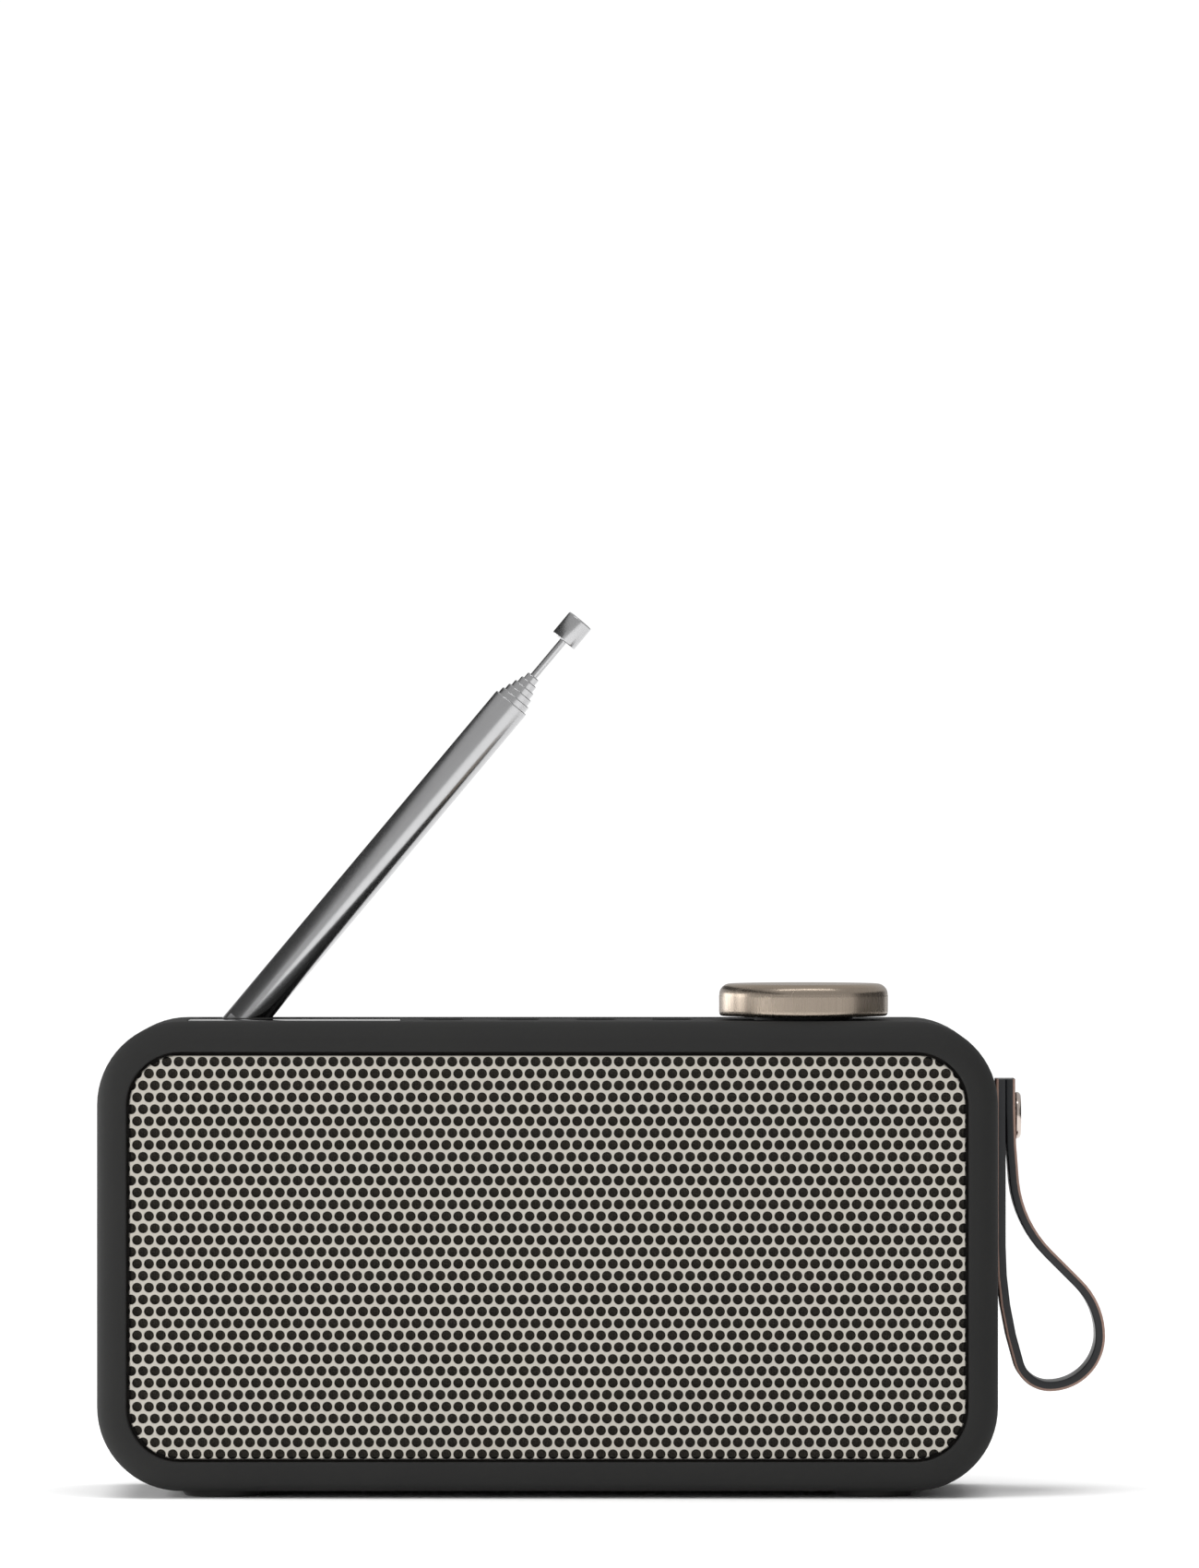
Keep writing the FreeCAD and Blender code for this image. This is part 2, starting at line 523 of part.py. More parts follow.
def aerial_bracket():
    """U-shaped bracket in the channel's end, with a cheek each side of the knuckle."""
    floor_z = TOP - GROOVE_DEPTH
    inner, outer = KNUCKLE_T / 2 + 0.1, KNUCKLE_T / 2 + 0.1 + CHEEK_T
    x0, x1 = AERIAL_PIVOT_X - CHEEK_R, AERIAL_PIVOT_X + CHEEK_R
    cheeks = []
    for s in (-1, 1):
        y0, y1 = sorted((AERIAL_Y + s * inner, AERIAL_Y + s * outer))
        cheeks += [along_y(CHEEK_R, y0, y1, AERIAL_PIVOT_X, PIVOT_Z), box(x0, x1, y0, y1, floor_z, PIVOT_Z)]
    base = box(x0, x1, AERIAL_Y - outer, AERIAL_Y + outer, floor_z, floor_z + BRACKET_T)
    bracket = fuse([base] + cheeks)
    return without(bracket, [along_y(PIN_R + 0.02, AERIAL_Y - 6, AERIAL_Y + 6, AERIAL_PIVOT_X, PIVOT_Z),
                             upright(1.1, floor_z - 1, floor_z + 1, AERIAL_PIVOT_X, AERIAL_Y)])


def aerial_pin():
    """Pivot pin, flush with the cheeks."""
    reach = KNUCKLE_T / 2 + 0.1 + CHEEK_T
    return along_y(PIN_R, AERIAL_Y - reach, AERIAL_Y + reach, AERIAL_PIVOT_X, PIVOT_Z)


def aerial_screw():
    """Screw from below that holds the bracket in the channel."""
    z0 = TOP - GROOVE_DEPTH - GROOVE_WALL
    head = upright(2.4, z0 - 1.5, z0, AERIAL_PIVOT_X, AERIAL_Y)
    return head.fuse(upright(1.1, z0, TOP - GROOVE_DEPTH + BRACKET_T, AERIAL_PIVOT_X, AERIAL_Y))


def aerial_knuckle():
    """Turned end of the mast: a flat blade with the pin hole, then the plug in the outer tube."""
    radius = TUBE_DIAMETERS[0] / 2
    blank = mast_cylinder(radius, 0, TUBE_FOOT)
    blank = fuse([blank, along_y(radius, AERIAL_Y - radius, AERIAL_Y + radius, AERIAL_PIVOT_X, PIVOT_Z)])
    blank = blank.common(mast_cylinder(radius, -radius, TUBE_FOOT))
    plug = mast_cylinder(radius - TUBE_WALL, 5.5, 8.0)
    flats = []
    for s in (-1, 1):
        y0, y1 = sorted((AERIAL_Y + s * KNUCKLE_T / 2, AERIAL_Y + s * 6))
        flats.append(box(AERIAL_PIVOT_X - 6, AERIAL_PIVOT_X + 6, y0, y1, PIVOT_Z - 6, PIVOT_Z + 4.3))
    bore = along_y(PIN_R + 0.05, AERIAL_Y - 6, AERIAL_Y + 6, AERIAL_PIVOT_X, PIVOT_Z)
    return leaning(without(fuse([blank, plug]), flats + [bore]))


def aerial_tube(index):
    """One tube of the mast, counted from the outside, with its end rolled in."""
    radius = TUBE_DIAMETERS[index] / 2
    low = INNER_FOOT + FOOT_STEP * index if index else TUBE_FOOT
    high = TUBE_TOP + TUBE_STEP * index
    inside = (TUBE_DIAMETERS + [2 * ROD_R])[index + 1] / 2
    tube = mast_cylinder(radius, low, high)
    tube = tube.makeFillet(0.22, [e for e in tube.Edges if e.BoundBox.ZMin > PIVOT_Z + high - 1e-6])
    return leaning(tube.cut(mast_cylinder(inside + TUBE_PLAY, low - 1, high + 1)))


def aerial_rod():
    """Solid last section of the mast."""
    last = TUBE_TOP + TUBE_STEP * (len(TUBE_DIAMETERS) - 1)
    return leaning(mast_cylinder(ROD_R, ROD_START, last + ROD_OUT + TIP_BORE))


def aerial_tip():
    """The button end of the mast."""
    low = TUBE_TOP + TUBE_STEP * (len(TUBE_DIAMETERS) - 1) + ROD_OUT
    tip = mast_cylinder(TIP_R, low, low + TIP_L)
    tip = tip.makeFillet(0.25, [e for e in tip.Edges if e.BoundBox.ZLength < 1e-6])
    return leaning(tip.cut(mast_cylinder(ROD_R, low - 1, low + TIP_BORE)))


# ---- top controls ----
def knob_cap():
    """Turned metal cap, hollow underneath."""
    cap = upright(KNOB_R, KNOB_BOTTOM, KNOB_TOP, KNOB_X, CONTROL_Y)
    for height, rounding in ((KNOB_TOP, KNOB_TOP_ROUND), (KNOB_BOTTOM, KNOB_FOOT_ROUND)):
        level = [e for e in cap.Edges if e.BoundBox.ZLength < 1e-6 and abs(e.BoundBox.ZMin - height) < 1e-6]
        cap = cap.makeFillet(rounding, level)
    hollow = upright(KNOB_R - KNOB_SKIRT, KNOB_BOTTOM - 1, KNOB_TOP - KNOB_ROOF, KNOB_X, CONTROL_Y)
    return cap.cut(hollow)


def knob_hub():
    """Plastic hub pressed into the cap; it carries the cap on the shaft and reaches into the housing."""
    roof = KNOB_TOP - KNOB_ROOF
    disc = upright(KNOB_R - KNOB_SKIRT, roof - 1.6, roof, KNOB_X, CONTROL_Y)
    hub = disc.fuse(upright(HUB_R, CEILING - 2.2, roof - 1, KNOB_X, CONTROL_Y))
    hollow = upright(HUB_R - 1.6, CEILING - 3, TOP + 0.4, KNOB_X, CONTROL_Y)
    return without(hub, [hollow, upright(SHAFT_R, CEILING, roof + 1, KNOB_X, CONTROL_Y)])


def encoder_body():
    """Rotary encoder on the control board, with its bushing."""
    case = box(KNOB_X - 6.2, KNOB_X + 6.2, CONTROL_Y - 6.2, CONTROL_Y + 6.2, ENCODER_Z, ENCODER_Z + 4.0)
    bushing = upright(4.5, ENCODER_Z + 4.0, ENCODER_Z + 8.5, KNOB_X, CONTROL_Y)
    bore = upright(SHAFT_R + 0.05, ENCODER_Z + 0.5, ENCODER_Z + 12, KNOB_X, CONTROL_Y)
    return fuse([case, bushing]).cut(bore)


def encoder_plunger():
    """Push contact under the shaft; it goes down without turning."""
    return upright(SHAFT_R - 0.05, ENCODER_Z + 1.1, ENCODER_Z + 2.6, KNOB_X, CONTROL_Y)


def encoder_shaft():
    """Steel shaft from the encoder into the knob's hub."""
    return upright(SHAFT_R, ENCODER_Z + 2.65, KNOB_TOP - KNOB_ROOF, KNOB_X, CONTROL_Y)


def control_button(x):
    """One round push button: cap, flange under the wall and stem."""
    cap = upright(BUTTON_R, CEILING - 0.6, TOP + BUTTON_PROUD, x, CONTROL_Y)
    cap = cap.makeFillet(0.5, [e for e in cap.Edges if e.BoundBox.ZMin > TOP])
    flange = upright(BUTTON_R + 1.1, CEILING - 1.2, CEILING - 0.2, x, CONTROL_Y)
    return fuse([cap, flange, upright(1.3, ENCODER_Z + 4.0, CEILING - 1, x, CONTROL_Y)])


def tact_switches():
    """Four click switches on the control board, under the buttons."""
    made = []
    for x in BUTTON_XS.values():
        case = box(x - 3, x + 3, CONTROL_Y - 3, CONTROL_Y + 3, ENCODER_Z, ENCODER_Z + 2.8)
        made.append(case.fuse(upright(1.7, ENCODER_Z + 2.8, ENCODER_Z + 3.4, x, CONTROL_Y)))
    return Part.makeCompound(made)


def control_board():
    """Circuit board under the top face."""
    board = box(-74, 73, -19, 7, CONTROL_BOARD_Z, CONTROL_BOARD_Z + BOARD_T)
    holes = [upright(1.0, CONTROL_BOARD_Z - 1, CONTROL_BOARD_Z + 3, x, y) for x, y in CONTROL_POSTS]
    return without(board, holes)


def display_window():
    """Dark glossy window, flush with the top face."""
    z1 = TOP - 0.05
    return rounded_slab(WINDOW_X0, WINDOW_X1, WINDOW_Y0, WINDOW_Y1, z1 - WINDOW_T, z1, WINDOW_CORNER)


def display_module():
    """Display panel under the window, on a riser from the board."""
    x0, x1, y0, y1 = WINDOW_X0 + 5, WINDOW_X1 - 5, WINDOW_Y0 + 4, WINDOW_Y1 - 4
    panel = box(x0, x1, y0, y1, CEILING - 1.6, TOP - 1.5)
    riser = box(x0 + 2, x1 - 2, y0 + 2, y1 - 2, ENCODER_Z, CEILING - 1.6)
    return panel.fuse(riser)


# ---- electronics ----
def main_board():
    """Circuit board between the loudspeakers and the bass radiator."""
    board = box(-45, 45, MAIN_BOARD_Y, MAIN_BOARD_Y + BOARD_T, 28, 80)
    holes = [along_y(1.0, MAIN_BOARD_Y - 1, MAIN_BOARD_Y + 3, x, z) for x, z in BOARD_POSTS]
    return without(board, holes)


def board_screws():
    """Eight alike: four through the main board into the rear cover, four up through the control board."""
    main = [screw((x, MAIN_BOARD_Y, z), (0, 1, 0), 7.0) for x, z in BOARD_POSTS]
    control = [screw((x, y, CONTROL_BOARD_Z), (0, 0, 1), 7.0) for x, y in CONTROL_POSTS]
    return Part.makeCompound(main + control)


def tuner_can():
    """Pressed screening can over the tuner."""
    can = rounded_prism(26, 20, 1.0, MAIN_BOARD_Y - 3.2, MAIN_BOARD_Y, 66, -22)
    return can.makeFillet(0.5, [e for e in can.Edges if e.BoundBox.YMax < MAIN_BOARD_Y - 3.1])


def board_chips():
    """Processor, amplifier and two inductors, as separate bodies on the main board."""
    y = MAIN_BOARD_Y
    square = [(8, 66, 6, 1.2), (24, 66, 4.5, 1.2), (-26, 42, 5, 1.0)]
    chips = [box(x - h, x + h, y - t, y, z - h, z + h) for x, z, h, t in square]
    return Part.makeCompound(chips + [along_y(4, y - 4.5, y, x, 42) for x in (6, 18)])


def battery_cells():
    """Two round lithium cells side by side."""
    cells = [along_x(CELL_R, -CELL_L / 2, CELL_L / 2, y, CELL_Z) for y in CELL_YS]
    rims = [[e for e in cell.Edges if e.BoundBox.XLength < 1e-6] for cell in cells]
    return Part.makeCompound([cell.makeFillet(0.5, rim) for cell, rim in zip(cells, rims)])


def battery_tray():
    """Cradle that holds the cells on the floor of the housing."""
    y0, y1 = CELL_YS[0] - 8, CELL_YS[1] + 8
    block = box(-37, 37, y0, y1, FLOOR, CELL_Z - 3)
    cradle = [along_x(CELL_R + 0.1, -CELL_L / 2 - 0.5, CELL_L / 2 + 0.5, y, CELL_Z) for y in CELL_YS]
    ends = [box(x - 2, x + 2, y0, y1, CELL_Z - 4, CELL_Z + 3) for x in (-35, 35)]
    return without(fuse([block] + ends), cradle)


def port_board():
    """Small upright board that carries the two sockets."""
    return box(49.4, 75.9, PORT_BOARD_Y, SOCKET_Y, PORT_Z - 8, PORT_Z + 8)


def usb_socket():
    """USB-C receptacle: an oval metal shell with its contact tongue."""
    mouth = BACK - BAY_DEPTH
    shell = rounded_prism(8.9, 3.2, 1.55, SOCKET_Y, mouth - 0.3, PORT_Z, USB_X)
    shell = shell.cut(rounded_prism(8.3, 2.6, 1.28, SOCKET_Y + 3.5, BACK + 1, PORT_Z, USB_X))
    return shell.fuse(box(USB_X - 3.3, USB_X + 3.3, SOCKET_Y + 3, mouth - 1.2, PORT_Z - 0.35, PORT_Z + 0.35))


def aux_socket():
    """3.5 mm headphone socket: body and round nose."""
    mouth = BACK - BAY_DEPTH
    case = box(AUX_X - 3.6, AUX_X + 3.6, SOCKET_Y, BACK - WALL - 0.4, PORT_Z - 3.2, PORT_Z + 3.2)
    nose = along_y(2.9, BACK - WALL - 0.5, mouth, AUX_X, PORT_Z)
    return case.fuse(nose).cut(along_y(AUX_R, mouth - 13.0, mouth + 1, AUX_X, PORT_Z))


def charge_light():
    """Clear light pipe of the charging light."""
    return along_y(1.0, SOCKET_Y, BACK - BAY_DEPTH, LED_X, PORT_Z)


def cover_screws():
    """Six screws that close the rear cover, heads sunk in their wells."""
    y = BACK - COVER_SCREW_WELL
    return Part.makeCompound([screw((x, y, z), (0, -1, 0), 14.5, head_r=2.7, head_t=1.8, shank_r=1.1)
                              for x, z in COVER_SCREWS])


# ---- leads ----
def speaker_leads():
    """One lead from each loudspeaker's terminal block to the face of the main board."""
    start_y = BAFFLE_BACK + BASKET_DEPTH - 1.2
    made = []
    for side in (-1, 1):
        start_x, end_x = side * (DRIVER_X - TERMINAL_X), side * 24.5
        route = [(start_x, start_y, MID_Z), (end_x, start_y, MID_Z), (end_x, MAIN_BOARD_Y, MID_Z)]
        made.append(lead(route, LEAD_R))
    return Part.makeCompound(made)


# ---- strap ----
class Walker:
    """Walks the strap's centreline in the XZ plane and keeps the line on each side of it."""

    def __init__(self, x, z):
        self.at = Vector(x, 0, z)
        self.heading = Vector(0, 0, -1)
        self.outer, self.inner = [], []

    def side(self, offset):
        """The point beside the line, positive on the loop's outside, which lies to the right."""
        return self.at + Vector(self.heading.z, 0, -self.heading.x) * offset

    def straight(self, length):
        """A straight run."""
        starts = [self.side(o) for o in (STRAP_T / 2, -STRAP_T / 2)]
        self.at = self.at + self.heading * length
        ends = [self.side(o) for o in (STRAP_T / 2, -STRAP_T / 2)]
        for line, a, b in zip((self.outer, self.inner), starts, ends):
            line.append(Part.LineSegment(a, b).toShape())

    def bend(self, radius, degrees):
        """An arc: left turns positive."""
        points = [[self.side(o)] for o in (STRAP_T / 2, -STRAP_T / 2)]
        left = math.copysign(1, degrees)
        centre = self.at + Vector(-self.heading.z, 0, self.heading.x) * (radius * left)
        for _ in range(2):
            turn = FreeCAD.Rotation(Y_AXIS, -degrees / 2)
            self.at = centre + turn.multVec(self.at - centre)
            self.heading = turn.multVec(self.heading)
            for found, offset in zip(points, (STRAP_T / 2, -STRAP_T / 2)):
                found.append(self.side(offset))
        for line, found in zip((self.outer, self.inner), points):
            line.append(Part.Arc(*found).toShape())


def strap_walk(closing):
    """The walk round the loop, with the given straight run in its middle."""
    walk = Walker(SIDE + STRAP_GAP + STRAP_T / 2, STRAP_TOP_Z)
    walk.straight(STRAP_LEG)
    for bend in STRAP_BENDS:
        if bend is None:
            walk.straight(closing)
        else:
            walk.bend(*bend)
    return walk


def closed_strap_walk():
    """The loop whose second leg comes back beside the first: the closing run is solved for that."""
    target = SIDE + STRAP_GAP + 1.5 * STRAP_T
    turned_by = sum(b[1] for b in STRAP_BENDS[:STRAP_BENDS.index(None)])
    slope = math.sin(math.radians(180 - turned_by))
    error = strap_walk(1.0).at.x - target
    return strap_walk(1.0 - error / slope)


def strap():
    """Leather loop, both ends joined at the top and drilled for the button."""
    walk = closed_strap_walk()
    x_in, x_out = SIDE + STRAP_GAP, walk.at.x + STRAP_T / 2
    head_in, head_out = Vector(x_in, 0, STRAP_TOP_Z), Vector(x_out, 0, STRAP_TOP_Z)
    closing = [Part.LineSegment(walk.side(STRAP_T / 2), head_out), Part.LineSegment(head_out, head_in)]
    body = Part.Face(Part.Wire(walk.outer + [line.toShape() for line in closing]))

    inner_start = walk.inner[0].Vertexes[0].Point
    inner_closing = Part.LineSegment(walk.side(-STRAP_T / 2), inner_start).toShape()
    loop_room = Part.Face(Part.Wire(walk.inner + [inner_closing]))
    cleft_z = walk.at.z - math.sqrt(2 * STRAP_BENDS[-1][0] * STRAP_CLEFT)
    below = Part.makePlane(BODY_H, 2 * BODY_H, Vector(x_in, 0, cleft_z - 2 * BODY_H), -Y_AXIS, X_AXIS)
    flat = body.cut(loop_room.common(below))
    print(f"strap: reach {body.BoundBox.XMax - SIDE:.2f} mm, lowest at {body.BoundBox.ZMin:.1f} mm")
    solid = flat.extrude(Vector(0, STRAP_W, 0))
    solid.translate(Vector(0, -STRAP_W / 2, 0))
    return solid.cut(along_x(STUD_SHANK_R + 0.2, SIDE - 1, SIDE + 8, 0, STRAP_PIN_Z))


def strap_button():
    """Domed button with the shank that runs through the strap into the insert."""
    x0 = SIDE + STRAP_GAP + 2 * STRAP_T + 0.2
    head = along_x(STUD_R, x0, x0 + STUD_T, 0, STRAP_PIN_Z)
    head = head.makeFillet(STUD_ROUND, [e for e in head.Edges if e.BoundBox.XMin > x0 + STUD_T / 2])
    return head.fuse(along_x(STUD_SHANK_R, SIDE - WALL - 3, x0 + 0.3, 0, STRAP_PIN_Z))


def strap_insert():
    """Brass threaded insert inside the wall."""
    tube = along_x(2.8, SIDE - WALL - 5, SIDE - 0.6, 0, STRAP_PIN_Z)
    return tube.cut(along_x(STUD_SHANK_R, SIDE - WALL - 6, SIDE, 0, STRAP_PIN_Z))


STRAP_REACH = max(edge.BoundBox.XMax for edge in closed_strap_walk().outer) - SIDE
BODY_X = -STRAP_REACH / 2


def save(name, shape):
    """Moves a finished piece from the body's frame to the part's frame and writes it."""
    shape = shape.copy()
    shape.translate(Vector(BODY_X, 0, 0))
    if not shape.isValid() or shape.Volume <= 0:
        print(f"WARNING {name}: valid {shape.isValid()}, volume {shape.Volume:.1f}")
    shape.exportStep(f"parts/{name}.step")


def pieces():
    """Every sub-part by name."""
    made = {
        "front_housing": front_housing(), "rear_cover": rear_cover(), "grille": grille(),
        "acoustic_cloth": acoustic_cloth(), "grille_gasket": grille_gasket(),
        "speaker_baffle": speaker_baffle(), "driver_screws": driver_screws(),
        "radiator_frame": radiator_frame(), "radiator_plate": radiator_plate(),
        "radiator_surround": roll_surround(0, BACK - WALL - RADIATOR_FRAME_T - SURROUND_T),
        "aerial_bracket": aerial_bracket(), "aerial_pin": aerial_pin(), "aerial_screw": aerial_screw(),
        "aerial_knuckle": aerial_knuckle(), "aerial_rod": aerial_rod(), "aerial_tip": aerial_tip(),
        "knob_cap": knob_cap(), "knob_hub": knob_hub(), "encoder_body": encoder_body(),
        "encoder_plunger": encoder_plunger(), "encoder_shaft": encoder_shaft(),
        "tact_switches": tact_switches(), "control_board": control_board(),
        "display_window": display_window(), "display_module": display_module(),
        "main_board": main_board(), "board_screws": board_screws(), "tuner_can": tuner_can(),
        "board_chips": board_chips(), "battery_cells": battery_cells(), "battery_tray": battery_tray(),
        "port_board": port_board(), "usb_socket": usb_socket(), "aux_socket": aux_socket(),
        "charge_light": charge_light(), "cover_screws": cover_screws(), "feet": feet(),
        "speaker_leads": speaker_leads(), "strap": strap(), "strap_button": strap_button(),
        "strap_insert": strap_insert(),
    }
    for name, side in (("left", -1), ("right", 1)):
        x = side * DRIVER_X
        made[f"{name}_driver_basket"] = driver_basket(x)
        made[f"{name}_driver_magnet"] = driver_magnet(x)
        made[f"{name}_driver_cone"] = driver_cone(x)
        made[f"{name}_driver_surround"] = roll_surround(x, BAFFLE_BACK - SURROUND_T)
    for index in range(len(TUBE_DIAMETERS)):
        made[f"aerial_tube_{index + 1}"] = aerial_tube(index)
    for name, x in BUTTON_XS.items():
        made[name] = control_button(x)
    return made


def main():
    """Writes one STEP file per sub-part."""
    os.makedirs("parts", exist_ok=True)
    made = pieces()
    for name, shape in made.items():
        save(name, shape)
    print(f"{len(made)} nodes, body centre at x = {BODY_X:.3f} mm")


main()
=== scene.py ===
"""Looks of a portable tabletop radio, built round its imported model: metres, +Z up, grille facing -Y."""
import json
import logging
import math
from contextlib import contextmanager
from dataclasses import dataclass, field
from enum import Enum
from typing import Callable, Dict, Iterator, List, Optional, Tuple

import bmesh
import bpy
from mathutils import Matrix, Vector


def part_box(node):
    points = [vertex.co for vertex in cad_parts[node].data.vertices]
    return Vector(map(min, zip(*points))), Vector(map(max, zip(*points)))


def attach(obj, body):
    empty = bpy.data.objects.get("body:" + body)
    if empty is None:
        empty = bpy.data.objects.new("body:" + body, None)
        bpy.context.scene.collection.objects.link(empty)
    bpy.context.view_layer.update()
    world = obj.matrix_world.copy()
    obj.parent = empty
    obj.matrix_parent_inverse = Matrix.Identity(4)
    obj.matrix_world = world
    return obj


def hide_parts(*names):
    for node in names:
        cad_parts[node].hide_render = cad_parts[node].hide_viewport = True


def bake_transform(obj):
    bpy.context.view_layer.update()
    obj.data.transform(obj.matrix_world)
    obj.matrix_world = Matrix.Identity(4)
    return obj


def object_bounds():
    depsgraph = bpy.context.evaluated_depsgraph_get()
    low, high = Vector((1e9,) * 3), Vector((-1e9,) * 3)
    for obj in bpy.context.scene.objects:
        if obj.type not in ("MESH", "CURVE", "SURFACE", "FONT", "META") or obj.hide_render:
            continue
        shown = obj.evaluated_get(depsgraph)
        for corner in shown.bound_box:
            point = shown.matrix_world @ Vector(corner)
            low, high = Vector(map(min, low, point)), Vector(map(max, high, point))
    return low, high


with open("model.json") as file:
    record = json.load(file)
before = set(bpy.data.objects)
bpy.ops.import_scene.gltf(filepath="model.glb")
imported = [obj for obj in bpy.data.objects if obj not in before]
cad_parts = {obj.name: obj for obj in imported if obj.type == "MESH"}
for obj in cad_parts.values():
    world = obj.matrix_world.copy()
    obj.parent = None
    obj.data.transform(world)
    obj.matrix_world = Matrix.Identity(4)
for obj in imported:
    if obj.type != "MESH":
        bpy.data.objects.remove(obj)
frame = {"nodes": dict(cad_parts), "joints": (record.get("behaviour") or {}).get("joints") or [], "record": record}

CAD_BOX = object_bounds()
MM = 0.001
MERGE = 1e-6
TOUCH = 1e-7
ALIGNED = 1e-3
LOG = logging.getLogger("radio")
Colour = Tuple[float, float, float, float]
Profile = List[Tuple[float, float]]


# ---- modelling helpers ---------------------------------------------------------------------------
class Element(Enum):
    """What an edit-mode choice picks."""

    VERT = "VERT"
    EDGE = "EDGE"
    FACE = "FACE"


def activate(piece: bpy.types.Object) -> None:
    """Selects one piece alone and makes it the active one.

    Args:
        piece: the piece to work on.
    """
    bpy.ops.object.select_all(action="DESELECT")
    piece.select_set(True)
    bpy.context.view_layer.objects.active = piece


@contextmanager
def editing(piece: bpy.types.Object, element: Element = Element.FACE) -> Iterator[None]:
    """Edit mode on one piece, with nothing selected at first.

    Args:
        piece: the piece to edit.
        element: the kind of element that selections are made of.
    """
    activate(piece)
    bpy.ops.object.mode_set(mode="EDIT")
    bpy.ops.mesh.select_mode(type=element.value)
    bpy.ops.mesh.select_all(action="DESELECT")
    try:
        yield
    finally:
        bpy.ops.object.mode_set(mode="OBJECT")


def pick(piece: bpy.types.Object, element: Element, test: Callable[[Vector, Vector], bool]) -> None:
    """Adds to the edit-mode selection every point or edge that passes a test.

    Args:
        piece: the piece in edit mode.
        element: VERT or EDGE.
        test: takes a point's place and normal, or an edge's middle and direction.
    """
    mesh = bmesh.from_edit_mesh(piece.data)
    if element is Element.VERT:
        items = [(v, v.co, v.normal) for v in mesh.verts]
    else:
        items = [(e, (e.verts[0].co + e.verts[1].co) / 2, (e.verts[1].co - e.verts[0].co).normalized())
                 for e in mesh.edges]
    for item, middle, direction in items:
        if test(middle, direction):
            item.select_set(True)
    bmesh.update_edit_mesh(piece.data, loop_triangles=False, destructive=False)


def settle(piece: bpy.types.Object, place: Matrix) -> bpy.types.Object:
    """Moves a piece made at the origin to its place, and keeps the place in its mesh.

    Args:
        piece: the piece.
        place: where it goes.

    Returns:
        The same piece.
    """
    piece.matrix_world = place @ piece.matrix_world
    activate(piece)
    bpy.ops.object.transform_apply(location=True, rotation=True, scale=True)
    return piece


def add_modifier(piece: bpy.types.Object, kind: str, **settings) -> None:
    """Adds one modifier with its settings and applies it.

    Args:
        piece: the piece.
        kind: the modifier's type.
        **settings: its properties by name.
    """
    activate(piece)
    modifier = piece.modifiers.new(kind.lower(), kind)
    for name, value in settings.items():
        setattr(modifier, name, value)
    bpy.ops.object.modifier_apply(modifier=modifier.name)


def cut(piece: bpy.types.Object, tool: bpy.types.Object) -> None:
    """Cuts a closed tool shape out of a piece, and throws the tool away."""
    add_modifier(piece, "BOOLEAN", object=tool, operation="DIFFERENCE", solver="EXACT")
    bpy.data.objects.remove(tool)


def weld() -> None:
    """Merges the doubles of the piece in edit mode and points its faces outwards."""
    bpy.ops.mesh.select_all(action="SELECT")
    bpy.ops.mesh.remove_doubles(threshold=MERGE)
    bpy.ops.mesh.normals_make_consistent(inside=False)


def block_between(name: str, low: Vector, high: Vector) -> bpy.types.Object:
    """A plain block between two corners."""
    bpy.ops.object.select_all(action="DESELECT")
    bpy.ops.mesh.primitive_cube_add(size=1, location=(low + high) / 2)
    piece = bpy.context.object
    piece.name = name
    piece.scale = high - low
    bpy.ops.object.transform_apply(location=True, scale=True)
    return piece


def smooth(piece: bpy.types.Object, degrees: float = 35.0) -> None:
    """Shades a piece smooth, except across edges sharper than an angle."""
    activate(piece)
    bpy.ops.object.shade_smooth_by_angle(angle=math.radians(degrees))


def arc(centre: Tuple[float, float], radius: float, start: float, end: float, steps: int) -> Profile:
    """Points of a round stretch of a profile.

    Args:
        centre: (radius, height) of the arc's centre.
        radius: the arc's radius.
        start: first angle in degrees, from the outward direction towards up.
        end: last angle in degrees.
        steps: how many stretches it has.

    Returns:
        (radius, height) pairs, both ends included.
    """
    angles = [math.radians(start + (end - start) * i / steps) for i in range(steps + 1)]
    return [(centre[0] + radius * math.cos(a), centre[1] + radius * math.sin(a)) for a in angles]


def turned(name: str, profile: Profile, segments: int = 96, bored: bool = False) -> bpy.types.Object:
    """A closed body of revolution about Z, drawn out ring by ring as on a lathe.

    Args:
        name: the piece's name.
        profile: (radius, height) pairs in metres, from the foot up on the outside.
        segments: how many flats go round it.
        bored: joins the last ring back to the first, as on a tube; otherwise both ends are closed flat.

    Returns:
        The piece, on the Z axis.
    """
    bpy.ops.object.select_all(action="DESELECT")
    radius, height = profile[0]
    bpy.ops.mesh.primitive_circle_add(vertices=segments, radius=radius, location=(0, 0, height))
    piece = bpy.context.object
    piece.name = name
    bpy.ops.object.transform_apply(location=True)
    rings = profile[1:] + (profile[:1] if bored else [])
    with editing(piece, Element.EDGE):
        bpy.ops.mesh.select_all(action="SELECT")
        for next_radius, next_height in rings:
            bpy.ops.mesh.extrude_region_move(TRANSFORM_OT_translate={"value": (0, 0, next_height - height)})
            ratio = next_radius / radius
            bpy.ops.transform.resize(value=(ratio, ratio, 1), center_override=(0, 0, 0))
            radius, height = next_radius, next_height
        if not bored:
            bpy.ops.mesh.edge_face_add()
            bpy.ops.mesh.select_all(action="DESELECT")
            foot_radius, foot_height = profile[0]
            flat = foot_radius * math.cos(math.pi / segments)
            pick(piece, Element.EDGE, lambda m, d: abs(m.z - foot_height) < TOUCH and abs(d.z) < ALIGNED
                 and abs(math.hypot(m.x, m.y) - flat) < TOUCH)
            bpy.ops.mesh.edge_face_add()
        weld()
    smooth(piece)
    return piece


